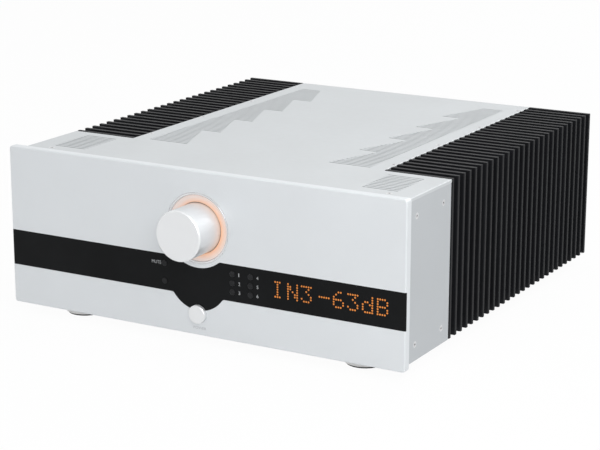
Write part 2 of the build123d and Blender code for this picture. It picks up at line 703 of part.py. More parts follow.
with BuildPart() as top_cover:
    with BuildSketch(Plane.XY.offset(COVER_Z)):
        with Locations((0, (FRAME_Y + WING_BACK) / 2)):
            Rectangle(2 * SIDE_X, WING_BACK - FRAME_Y)
        with Locations((0, (FRAME_Y + REAR) / 2)):
            Rectangle(2 * (FIN_ROOT - SEAT_GAP), REAR - FRAME_Y)
    extrude(amount=COVER_THICK)
    top_edges = top_cover.faces().sort_by(Axis.Z)[-1].edges()
    chamfer(top_edges.filter_by(lambda edge: edge.center().Y > FRAME_Y + FLOAT), CHEEK_EDGE / 2)
    with BuildSketch(Plane.XY.offset(COVER_Z)):
        for inner, outer, y in vent_rows():
            with Locations((-(inner + outer) / 2, y), ((inner + outer) / 2, y)):
                SlotOverall(outer - inner, VENT_SLOT)
    extrude(amount=COVER_THICK, mode=Mode.SUBTRACT)
    flange_x = SIDE_X - CHEEK_THICK - SEAT_GAP - FLANGE_THICK / 2
    flange_length = WING_DEPTH - FASCIA_THICK - CHEEK_THICK - FLANGE_END
    flanges_at = [(side * flange_x, (FRAME_Y + WING_BACK - CHEEK_THICK) / 2) for side in (-1, 1)]
    with BuildSketch(Plane.XY.offset(COVER_Z)):
        with Locations(*flanges_at):
            Rectangle(FLANGE_THICK, flange_length)
        with Locations((0, PANEL_Y - FLANGE_THICK / 2)):
            Rectangle(2 * (CORE_X - FLANGE_THICK), FLANGE_THICK)
    extrude(amount=-FLANGE_REACH)
    with Locations(*cover_seats):
        CounterSinkHole(SCREW_R + SCREW_FIT, SCREW_HEAD_R + SCREW_FIT, depth=COVER_THICK + OVERCUT)
    with Locations(*cheek_seats[-1], *cheek_seats[1], *rear_seats):
        Hole(SCREW_R + SCREW_FIT, depth=SCREW_LENGTH + OVERCUT)
save(top_cover.part, "top_cover")

# ---------------------------------------------------------------- bottom plate
with BuildPart() as bottom_plate:
    wing_in = WING_BACK - CHEEK_THICK - SEAT_GAP
    wing_x = SIDE_X - CHEEK_THICK - SEAT_GAP
    with BuildSketch(Plane.XY.offset(CHASSIS_Z)):
        with Locations((0, (FRAME_Y + wing_in) / 2)):
            Rectangle(2 * wing_x, wing_in - FRAME_Y)
        with Locations((0, (FRAME_Y + REAR) / 2)):
            Rectangle(2 * CORE_X, REAR - FRAME_Y)
        with Locations(*FEET):
            Circle(FOOT_SCREW_R + SCREW_FIT, mode=Mode.SUBTRACT)
        with Locations((0, FRONT + TRANSFORMER_Y)):
            Circle(BOLT_R + FLOAT, mode=Mode.SUBTRACT)
        with Locations((0, FRONT + SUPPLY_Y)):
            with GridLocations(
                BASE_SLOT_LENGTH + BASE_SLOT_GAP, BASE_SLOT_PITCH, BASE_SLOT_COLUMNS, BASE_SLOT_ROWS
            ):
                SlotOverall(BASE_SLOT_LENGTH, BASE_SLOT, mode=Mode.SUBTRACT)
    extrude(amount=BASE_THICK)
    rear_flange_x = (rear_columns[0] + rear_columns[1]) / 2
    rear_flange_length = REAR_SCREW_STEP + REAR_SCREW_X
    with BuildSketch(Plane.XY.offset(FLOOR_Z)):
        with Locations(*flanges_at):
            Rectangle(FLANGE_THICK, flange_length)
        with Locations(*[(side * rear_flange_x, PANEL_Y - FLANGE_THICK / 2) for side in (-1, 1)]):
            Rectangle(rear_flange_length, FLANGE_THICK)
    extrude(amount=FLANGE_REACH)
    with Locations(*cheek_seats[-1], *cheek_seats[1], *rear_seats):
        Hole(SCREW_R + SCREW_FIT, depth=SCREW_LENGTH + OVERCUT)
save(bottom_plate.part, "bottom_plate")


# ---------------------------------------------------------------- heatsinks
def heatsink(side):
    """Upright base plate, with fins bonded into its grooves that run up and down and stand out sideways."""
    first = WING_BACK + FIN_FRONT_GAP + FIN_THICK / 2
    pitch = (REAR - FIN_THICK / 2 - first) / (FIN_COUNT - 1)
    fin_root = FIN_ROOT - FIN_SEAT
    fin_places = [(side * (fin_root + SIDE_X) / 2, first + fin * pitch) for fin in range(FIN_COUNT)]
    with BuildPart() as fins:
        with BuildSketch(Plane.XY.offset(CHASSIS_Z)) as outline:
            with Locations(*fin_places):
                Rectangle(SIDE_X - fin_root, FIN_THICK)
            tips = outline.vertices().filter_by(lambda vertex: abs(vertex.X) > SIDE_X - FLOAT)
            fillet(tips, FIN_TIP_ROUND)
        extrude(amount=COVER_TOP - CHASSIS_Z)
        with BuildSketch(Plane.XY.offset(COVER_Z)):
            with Locations((side * (SINK_IN + FIN_ROOT) / 2, (WING_BACK + REAR) / 2)):
                Rectangle(SINK_BASE, REAR - WING_BACK)
        extrude(amount=COVER_THICK, mode=Mode.SUBTRACT)
    with BuildPart() as base:
        with BuildSketch(Plane.XY.offset(CHASSIS_Z)):
            with Locations((side * (SINK_IN + FIN_ROOT) / 2, (WING_BACK + REAR) / 2)):
                Rectangle(SINK_BASE, REAR - WING_BACK)
            with Locations(*fin_places):
                Rectangle(SIDE_X - fin_root, FIN_THICK, mode=Mode.SUBTRACT)
        extrude(amount=COVER_Z - CHASSIS_Z)
        own_seats = [(x, y, COVER_Z) for x, y, z in cover_side if x * side > 0]
        with Locations(*seats(own_seats, (0, 0, 1))):
            Hole(SCREW_R + SCREW_FIT, depth=SCREW_LENGTH)
    return Compound([*base.part.solids(), *fins.part.solids()])


save(heatsink(-1), "heatsink_left")
save(heatsink(1), "heatsink_right")

# ---------------------------------------------------------------- feet
with BuildPart() as feet:
    with BuildSketch(Plane.XY.offset(PAD_PROUD)):
        with Locations(*FEET):
            Circle(FOOT_R)
    extrude(amount=FOOT_HEIGHT - PAD_PROUD)
    chamfer(feet.faces().group_by(Axis.Z)[0].edges(), FOOT_CHAMFER)
    with BuildSketch(Plane.XY.offset(PAD_PROUD)):
        with Locations(*FEET):
            Circle(PAD_R + FLOAT)
    extrude(amount=PAD_THICK - PAD_PROUD, mode=Mode.SUBTRACT)
    with BuildSketch(Plane.XY.offset(PAD_THICK)):
        with Locations(*FEET):
            Circle(FOOT_SCREW_HEAD_R + FLOAT)
    extrude(amount=FOOT_SCREW_HEAD + FLOAT, mode=Mode.SUBTRACT)
    with BuildSketch(Plane.XY.offset(PAD_THICK)):
        with Locations(*FEET):
            Circle(FOOT_SCREW_R + SCREW_FIT)
    extrude(amount=FOOT_HEIGHT, mode=Mode.SUBTRACT)
save(feet.part, "feet")

with BuildPart() as foot_pads:
    with BuildSketch(Plane.XY):
        with Locations(*FEET):
            Circle(PAD_R)
    extrude(amount=PAD_THICK)
    fillet(foot_pads.faces().group_by(Axis.Z)[0].edges(), PAD_ROUND)
save(foot_pads.part, "foot_pads")

with BuildPart() as foot_screws:
    with BuildSketch(Plane.XY.offset(PAD_THICK + FLOAT)):
        with Locations(*FEET):
            Circle(FOOT_SCREW_HEAD_R)
    extrude(amount=FOOT_SCREW_HEAD)
    with BuildSketch(Plane.XY.offset(PAD_THICK + FLOAT)):
        with Locations(*FEET):
            Circle(FOOT_SCREW_R)
    extrude(amount=FOOT_HEIGHT + BASE_THICK - PAD_THICK + FLOAT)
save(foot_screws.part, "foot_screws")


# ---------------------------------------------------------------- case screws
def countersunk_screw():
    """One screw at the origin, its head flush with z = 0 and its shank below."""
    with BuildPart() as screw:
        with BuildSketch(Plane.XZ):
            with BuildLine():
                Polyline(
                    (0, -SCREW_SINK),
                    (SCREW_HEAD_R, -SCREW_SINK),
                    (SCREW_R, SCREW_R - SCREW_HEAD_R - SCREW_SINK),
                    (SCREW_R, -SCREW_LENGTH),
                    (0, -SCREW_LENGTH),
                    close=True,
                )
            make_face()
        revolve(axis=Axis.Z)
        with BuildSketch(Plane.XY):
            RegularPolygon(SCREW_SOCKET, HEX, major_radius=False)
        extrude(amount=-SCREW_SOCKET, mode=Mode.SUBTRACT)
    return screw.part


case_screw = countersunk_screw()
with BuildPart() as case_screws:
    with Locations(*cover_seats, *cheek_seats[-1], *cheek_seats[1], *rear_seats, *inlet_seats):
        add(case_screw)
save(case_screws.part, "case_screws")

# ---------------------------------------------------------------- transformer and its clamp
transformer_at = (0, FRONT + TRANSFORMER_Y)
clamp_z = FLOOR_Z + TRANSFORMER_HEIGHT
with BuildPart() as transformer:
    with BuildSketch(Plane.XY.offset(FLOOR_Z)):
        with Locations(transformer_at):
            Circle(TRANSFORMER_R)
            Circle(TRANSFORMER_BORE_R, mode=Mode.SUBTRACT)
    extrude(amount=TRANSFORMER_HEIGHT)
    fillet(transformer.edges().filter_by(GeomType.CIRCLE), TRANSFORMER_ROUND)
save(transformer.part, "transformer")

with BuildPart() as transformer_clamp_plate:
    with BuildSketch(Plane.XY.offset(clamp_z)):
        with Locations(transformer_at):
            Circle(CLAMP_R)
            Circle(BOLT_R + FLOAT, mode=Mode.SUBTRACT)
    extrude(amount=CLAMP_THICK)
    clamp_top = transformer_clamp_plate.faces().sort_by(Axis.Z)[-1]
    chamfer(clamp_top.outer_wire().edges(), CLAMP_CHAMFER)
save(transformer_clamp_plate.part, "transformer_clamp_plate")

with BuildPart() as transformer_bolt:
    with BuildSketch(Plane.XY.offset(CHASSIS_Z)):
        with Locations(transformer_at):
            Circle(BOLT_R)
    extrude(amount=clamp_z + CLAMP_THICK - CHASSIS_Z)
    with BuildSketch(Plane.XY.offset(clamp_z + CLAMP_THICK)):
        with Locations(transformer_at):
            RegularPolygon(BOLT_HEAD / 2, HEX, major_radius=False)
    extrude(amount=BOLT_HEAD_HIGH)
save(transformer_bolt.part, "transformer_bolt")

# ---------------------------------------------------------------- power supply
supply_z = FLOOR_Z + SUPPLY_LIFT
supply_at = (0, FRONT + SUPPLY_Y)
supply_size = (SUPPLY_WIDTH, SUPPLY_DEPTH)
with BuildPart() as power_supply_board:
    with BuildSketch(Plane.XY.offset(supply_z)):
        with Locations(supply_at):
            Rectangle(*supply_size)
            with board_corners(supply_size):
                Circle(SCREW_R, mode=Mode.SUBTRACT)
    extrude(amount=BOARD_THICK)
save(power_supply_board.part, "power_supply_board")

with BuildPart() as reservoir_capacitors:
    with BuildSketch(Plane.XY.offset(supply_z + BOARD_THICK)):
        with Locations(supply_at):
            with GridLocations(CAN_PITCH, CAN_PITCH, CAN_COLUMNS, CAN_ROWS):
                Circle(CAN_R)
    extrude(amount=CAN_HEIGHT)
    fillet(reservoir_capacitors.faces().group_by(Axis.Z)[-1].edges(), CAN_ROUND)
save(reservoir_capacitors.part, "reservoir_capacitors")

# ---------------------------------------------------------------- amplifier boards on the heatsinks
amp_middle = (FRONT + AMP_Y + AMP_LENGTH / 2, AMP_Z + AMP_HEIGHT / 2)
amp_size = (AMP_LENGTH, AMP_HEIGHT)
amp_x = SINK_IN - AMP_STANDOFF


def amp_board(side):
    """Upright board held off the heatsink's inner face."""
    with BuildPart() as board:
        with BuildSketch(Plane.YZ.offset(side * amp_x)):
            with Locations(amp_middle):
                Rectangle(*amp_size)
                with board_corners(amp_size):
                    Circle(SCREW_R, mode=Mode.SUBTRACT)
        extrude(amount=-side * BOARD_THICK)
    return board.part


def output_transistors(side):
    """Row of power transistors flat against the heatsink's inner face."""
    with BuildPart() as row:
        with BuildSketch(Plane.YZ.offset(side * SINK_IN)):
            with Locations((amp_middle[0], CHIP_Z + CHIP_HEIGHT / 2)):
                with GridLocations(CHIP_PITCH, CHIP_HEIGHT, CHIP_COUNT, 1):
                    Rectangle(CHIP_WIDTH, CHIP_HEIGHT)
        extrude(amount=-side * CHIP_THICK)
    return row.part


for side_name, side in (("left", -1), ("right", 1)):
    save(amp_board(side), f"amp_board_{side_name}")
    save(output_transistors(side), f"output_transistors_{side_name}")

# ---------------------------------------------------------------- input board behind the phono sockets
input_board_back = PANEL_Y - PHONO_SHANK_R - FLOAT
phono_width = (PHONO_COLUMNS - 1) * PHONO_PITCH
input_size = (phono_width + INPUT_MARGIN[0], PHONO_ROWS[1] - PHONO_ROWS[0] + INPUT_MARGIN[1])
input_middle = (0, (PHONO_ROWS[0] + PHONO_ROWS[1]) / 2)
with BuildPart() as input_board:
    with BuildSketch(across(input_board_back - BOARD_THICK)):
        with Locations(input_middle):
            Rectangle(*input_size)
            with board_corners(input_size):
                Circle(SCREW_R, mode=Mode.SUBTRACT)
    extrude(amount=-BOARD_THICK)
save(input_board.part, "input_board")

with BuildPart() as board_standoffs:
    with BuildSketch(across(FRAME_BACK)):
        with Locations(board_centre):
            with board_corners(board_size):
                Circle(STANDOFF_R)
    extrude(amount=-ENCODER_DEPTH)
    with BuildSketch(across(input_board_back)):
        with Locations(input_middle):
            with board_corners(input_size):
                Circle(STANDOFF_R)
    extrude(amount=-(PANEL_Y - input_board_back))
    with BuildSketch(Plane.XY.offset(FLOOR_Z)):
        with Locations(supply_at):
            with board_corners(supply_size):
                Circle(STANDOFF_R)
    extrude(amount=SUPPLY_LIFT)
    for side in (-1, 1):
        with BuildSketch(Plane.YZ.offset(side * SINK_IN)):
            with Locations(amp_middle):
                with board_corners(amp_size):
                    Circle(STANDOFF_R)
        extrude(amount=-side * AMP_STANDOFF)
save(board_standoffs.part, "board_standoffs")

# ---------------------------------------------------------------- rear panel
phono_places = [
    (column * PHONO_PITCH - phono_width / 2, z) for z in PHONO_ROWS for column in range(PHONO_COLUMNS)
]
xlr_places = [(side * x, XLR_Z) for side in (-1, 1) for x in XLR_X]
speaker_places = [(x, SPEAKER_Z) for x in (-SPEAKER_X[1], -SPEAKER_X[0], SPEAKER_X[0], SPEAKER_X[1])]
with BuildPart() as rear_panel:
    with BuildSketch(across(PANEL_Y)):
        with Locations((0, (FLOOR_Z + COVER_Z) / 2)):
            Rectangle(2 * CORE_X, COVER_Z - FLOOR_Z)
        with Locations((0, INLET_Z)):
            Rectangle(INLET_WIDTH + 2 * SEAT_GAP, INLET_HEIGHT + 2 * SEAT_GAP, mode=Mode.SUBTRACT)
        with Locations(*phono_places):
            Circle(PHONO_SHANK_R + FLOAT, mode=Mode.SUBTRACT)
        with Locations(*xlr_places):
            Circle(XLR_R + SEAT_GAP, mode=Mode.SUBTRACT)
        with Locations(*speaker_places):
            Circle(BUSH_SPIGOT_R + BUSH_FIT, mode=Mode.SUBTRACT)
    extrude(amount=-REAR_THICK)
    with Locations(*rear_seats):
        CounterSinkHole(SCREW_R + SCREW_FIT, SCREW_HEAD_R + SCREW_FIT, depth=REAR_THICK + OVERCUT)
    with Locations(*inlet_seats):
        Hole(SCREW_R + SCREW_FIT, depth=SCREW_LENGTH)
save(rear_panel.part, "rear_panel")

# ---------------------------------------------------------------- mains inlet with its fuse drawer
inlet_face = REAR + INLET_FLANGE[2]
socket_at = (0, INLET_Z + SOCKET_RISE)
drawer_at = (0, INLET_Z - DRAWER_DROP)
blades = [(-BLADE_PITCH, socket_at[1] - BLADE_STEP), (0, socket_at[1] + BLADE_STEP)]
blades.append((BLADE_PITCH, socket_at[1] - BLADE_STEP))
socket_floor = inlet_face - SOCKET_DEPTH
with BuildPart() as mains_inlet:
    with BuildSketch(across(REAR - INLET_DEPTH)):
        with Locations((0, INLET_Z)):
            Rectangle(INLET_WIDTH, INLET_HEIGHT)
    extrude(amount=-INLET_DEPTH)
    with BuildSketch(across(REAR)):
        with Locations((0, INLET_Z)):
            RectangleRounded(INLET_FLANGE[0], INLET_FLANGE[1], FASCIA_CORNER)
    extrude(amount=-INLET_FLANGE[2])
    with BuildSketch(across(inlet_face)) as socket_mouth:
        with Locations(socket_at):
            Rectangle(SOCKET_WIDTH, SOCKET_HEIGHT)
        chamfer(socket_mouth.vertices().group_by(Axis.Y)[-1], SOCKET_BEVEL)
    extrude(amount=SOCKET_DEPTH, mode=Mode.SUBTRACT)
    with BuildSketch(across(inlet_face)):
        with Locations(drawer_at):
            Rectangle(DRAWER_WIDTH + 2 * DRAWER_FIT, DRAWER_HEIGHT + 2 * DRAWER_FIT)
    extrude(amount=DRAWER_DEPTH + DRAWER_FIT, mode=Mode.SUBTRACT)
    with BuildSketch(across(socket_floor)):
        with Locations(*blades):
            Rectangle(*BLADE)
    extrude(amount=INLET_DEPTH, mode=Mode.SUBTRACT)
    with Locations(*inlet_seats):
        CounterSinkHole(SCREW_R + SCREW_FIT, SCREW_HEAD_R + SCREW_FIT, depth=INLET_FLANGE[2] + OVERCUT)
save(mains_inlet.part, "mains_inlet")

with BuildPart() as inlet_pins:
    with BuildSketch(across(socket_floor + BLADE_LENGTH)):
        with Locations(*blades):
            Rectangle(*BLADE)
    extrude(amount=BLADE_LENGTH)
    with BuildSketch(across(socket_floor)):
        with Locations(*blades):
            Rectangle(*BLADE)
    extrude(amount=socket_floor - REAR + INLET_DEPTH + BLADE_TAIL)
save(inlet_pins.part, "inlet_pins")

with BuildPart() as fuse_drawer:
    with BuildSketch(across(inlet_face)):
        with Locations(drawer_at):
            Rectangle(DRAWER_WIDTH, DRAWER_HEIGHT)
    extrude(amount=DRAWER_DEPTH)
    with BuildSketch(Plane.XY.offset(drawer_at[1])):
        with Locations((0, inlet_face - DRAWER_DEPTH / 2)):
            Rectangle(*FUSE_BAY)
    extrude(amount=DRAWER_HEIGHT, mode=Mode.SUBTRACT)
    with BuildSketch(across(inlet_face)):
        with Locations(drawer_at):
            Rectangle(DRAWER_WIDTH / 2, DRAWER_TAB)
    extrude(amount=-DRAWER_TAB)
save(fuse_drawer.part, "fuse_drawer")

# ---------------------------------------------------------------- signal sockets
with BuildPart() as phono_sockets:
    with BuildSketch(across(REAR)):
        with Locations(*phono_places):
            Circle(PHONO_FLANGE_R)
    extrude(amount=-PHONO_FLANGE)
    with BuildSketch(across(REAR)):
        with Locations(*phono_places):
            Circle(PHONO_R)
    extrude(amount=-(PHONO_FLANGE + PHONO_REACH))
    fillet(phono_sockets.faces().group_by(Axis.Y)[-1].edges(), PHONO_ROUND)
    with BuildSketch(across(REAR)):
        with Locations(*phono_places):
            Circle(PHONO_SHANK_R)
    extrude(amount=REAR - input_board_back - FLOAT)
    with BuildSketch(across(REAR + PHONO_FLANGE + PHONO_REACH)):
        with Locations(*phono_places):
            Circle(PHONO_PIN_R)
    extrude(amount=PHONO_PIN_DEPTH, mode=Mode.SUBTRACT)
save(phono_sockets.part, "phono_sockets")

xlr_face = REAR + XLR_FLANGE[2]
with BuildPart() as xlr_sockets:
    with BuildSketch(across(REAR - XLR_DEPTH)):
        with Locations(*xlr_places):
            Circle(XLR_R)
    extrude(amount=-XLR_DEPTH)
    with BuildSketch(across(REAR)):
        with Locations(*xlr_places):
            RectangleRounded(XLR_FLANGE[0], XLR_FLANGE[1], FASCIA_CORNER)
    extrude(amount=-XLR_FLANGE[2])
    with BuildSketch(across(xlr_face)):
        with Locations(*xlr_places):
            Circle(XLR_RING[1])
            Circle(XLR_RING[0], mode=Mode.SUBTRACT)
    extrude(amount=XLR_RING_DEPTH, mode=Mode.SUBTRACT)
    with BuildSketch(across(xlr_face)):
        with Locations(*xlr_places):
            with PolarLocations(XLR_PIN_CIRCLE, XLR_PINS, start_angle=90):
                Circle(XLR_PIN_R)
    extrude(amount=XLR_RING_DEPTH, mode=Mode.SUBTRACT)
save(xlr_sockets.part, "xlr_sockets")

# ---------------------------------------------------------------- speaker terminals
stem_flange_y = REAR + BUSH_THICK
collar_y = stem_flange_y + STEM_FLANGE + FLOAT
cap_y = collar_y + COLLAR_THICK + FLOAT
cap_end = REAR + TERMINAL_REACH
stem_end = cap_end - CAP_MOUTH

with BuildPart() as speaker_bushes:
    with BuildSketch(across(REAR)):
        with Locations(*speaker_places):
            Circle(BUSH_R)
    extrude(amount=-BUSH_THICK)
    with BuildSketch(across(REAR)):
        with Locations(*speaker_places):
            Circle(BUSH_SPIGOT_R)
    extrude(amount=REAR_THICK)
    with BuildSketch(across(PANEL_Y)):
        with Locations(*speaker_places):
            Circle(STEM_R + BUSH_FIT / 2)
    extrude(amount=-(REAR_THICK + BUSH_THICK), mode=Mode.SUBTRACT)
save(speaker_bushes.part, "speaker_bushes")

with BuildPart() as speaker_posts:
    with BuildSketch(across(PANEL_Y - STEM_TAIL)):
        with Locations(*speaker_places):
            Circle(STEM_R)
    extrude(amount=-(stem_end - PANEL_Y + STEM_TAIL))
    with BuildSketch(across(stem_flange_y)):
        with Locations(*speaker_places):
            Circle(STEM_FLANGE_R)
    extrude(amount=-STEM_FLANGE)
    with BuildSketch(across(stem_end)):
        with Locations(*speaker_places):
            Circle(BANANA_R)
    extrude(amount=BANANA_DEPTH, mode=Mode.SUBTRACT)
save(speaker_posts.part, "speaker_posts")


def speaker_cap(centre):
    """Fluted clamping nut, open at its end for a plug."""
    with BuildPart() as cap:
        with BuildSketch(across(cap_y)):
            with Locations(centre):
                Circle(CAP_R)
                with PolarLocations(CAP_R, CAP_FLUTES):
                    Circle(CAP_FLUTE_R, mode=Mode.SUBTRACT)
                Circle(STEM_R + CAP_FIT, mode=Mode.SUBTRACT)
        extrude(amount=-(cap_end - cap_y))
    return cap.part


for number, centre in enumerate(speaker_places, 1):
    collar = tube(collar_y, COLLAR_R, STEM_R + CAP_FIT, COLLAR_THICK, centre)
    save(collar, f"speaker_collar_{number}")
    save(speaker_cap(centre), f"speaker_cap_{number}")
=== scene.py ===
"""Looks of an integrated power amplifier: finishes, lettering, lit display, small hardware and the studio round it."""

import json
import logging
import math
import random
from dataclasses import dataclass, field
from enum import Enum

import bmesh
import bpy
from mathutils import Matrix, Vector


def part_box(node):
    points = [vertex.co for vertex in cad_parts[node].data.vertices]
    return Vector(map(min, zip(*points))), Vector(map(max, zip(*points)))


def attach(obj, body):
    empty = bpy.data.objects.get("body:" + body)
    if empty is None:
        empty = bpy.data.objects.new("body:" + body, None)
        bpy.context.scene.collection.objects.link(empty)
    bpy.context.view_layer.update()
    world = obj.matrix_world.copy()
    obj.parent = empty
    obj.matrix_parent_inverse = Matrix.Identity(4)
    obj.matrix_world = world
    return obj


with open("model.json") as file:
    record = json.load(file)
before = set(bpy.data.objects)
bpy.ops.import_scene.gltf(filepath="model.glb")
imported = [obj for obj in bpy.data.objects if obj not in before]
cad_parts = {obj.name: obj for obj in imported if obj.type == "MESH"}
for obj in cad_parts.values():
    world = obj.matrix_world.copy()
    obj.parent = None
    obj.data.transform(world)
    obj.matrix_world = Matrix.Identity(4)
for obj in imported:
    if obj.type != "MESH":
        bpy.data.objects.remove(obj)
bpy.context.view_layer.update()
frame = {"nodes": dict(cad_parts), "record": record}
MM = 0.001
CHASSIS = "chassis"
Colour = tuple[float, float, float]
Point = tuple[float, float, float]
KNOB_CENTRE: Point = (0.0, 0.0, 0.1152)
POWER_CENTRE: Point = (0.0, 0.0, 0.032)
WINDING_CENTRE: Point = (0.0, 0.0, 0.0455)
WEAR_WIDTH = 0.0006
DUST_COLOUR: Colour = (0.42, 0.41, 0.39)
log = logging.getLogger("amplifier")


class Pattern(Enum):
    """Ways in which a surface is worked."""

    GRAIN = "grain"
    BRUSHED = "brushed"
    TURNED = "turned"
    WOUND = "wound"
    TRACKS = "tracks"


class Graph:
    """Adds and joins nodes in one tree."""

    def __init__(self, tree: bpy.types.NodeTree) -> None:
        """Keeps the tree and starts it empty.

        Args:
            tree: the node tree of a material, world or group.
        """
        self.tree = tree
        tree.nodes.clear()

    def add(self, kind: str, inputs: dict | None = None, **settings: object) -> bpy.types.Node:
        """Adds one node.

        Args:
            kind: the node's type, without its "ShaderNode" or "Node" start.
            inputs: a value or an output socket for each named or numbered input.
            settings: the node's own settings.

        Returns:
            The new node.
        """
        full = kind if kind.startswith("NodeGroup") else f"ShaderNode{kind}"
        node = self.tree.nodes.new(full)
        for name, value in settings.items():
            setattr(node, name, value)
        for name, value in (inputs or {}).items():
            self.feed(node.inputs[name], value)
        return node

    def feed(self, socket: bpy.types.NodeSocket, value: object) -> None:
        """Sets a socket, or joins another node's output to it.

        Args:
            socket: the input.
            value: a number, a colour, a vector or an output socket.
        """
        if isinstance(value, bpy.types.NodeSocket):
            self.tree.links.new(value, socket)
        elif socket.type == "RGBA" and len(value) == 3:
            socket.default_value = (*value, 1.0)
        else:
            socket.default_value = value

    def math(self, operation: str, *values: object, clamp: bool = False) -> bpy.types.NodeSocket:
        """Adds a Math node.

        Args:
            operation: what it works out.
            values: its numbers or sockets.
            clamp: keeps the result between 0 and 1.

        Returns:
            Its output.
        """
        return self.add("Math", dict(enumerate(values)), operation=operation, use_clamp=clamp).outputs[0]

    def blend(self, share: object, low: object, high: object) -> bpy.types.NodeSocket:
        """Mixes two colours.

        Args:
            share: how much of the second.
            low: the first colour.
            high: the second colour.

        Returns:
            The mixed colour.
        """
        node = self.add("Mix", {0: share, 6: low, 7: high}, data_type="RGBA")
        return node.outputs[2]

    def ramp(self, value: object, start: float, end: float) -> bpy.types.NodeSocket:
        """Spreads a value from start to end over 0 to 1.

        Args:
            value: the number to spread.
            start: what becomes 0.
            end: what becomes 1.

        Returns:
            The spread value.
        """
        return self.add("MapRange", {0: value, 1: start, 2: end, 3: 0.0, 4: 1.0}).outputs[0]

    def group(self, tree: bpy.types.NodeTree, inputs: dict) -> bpy.types.Node:
        """Places a shared group.

        Args:
            tree: the group.
            inputs: its values.

        Returns:
            The group's node.
        """
        node = self.tree.nodes.new("ShaderNodeGroup")
        node.node_tree = tree
        for name, value in inputs.items():
            self.feed(node.inputs[name], value)
        return node


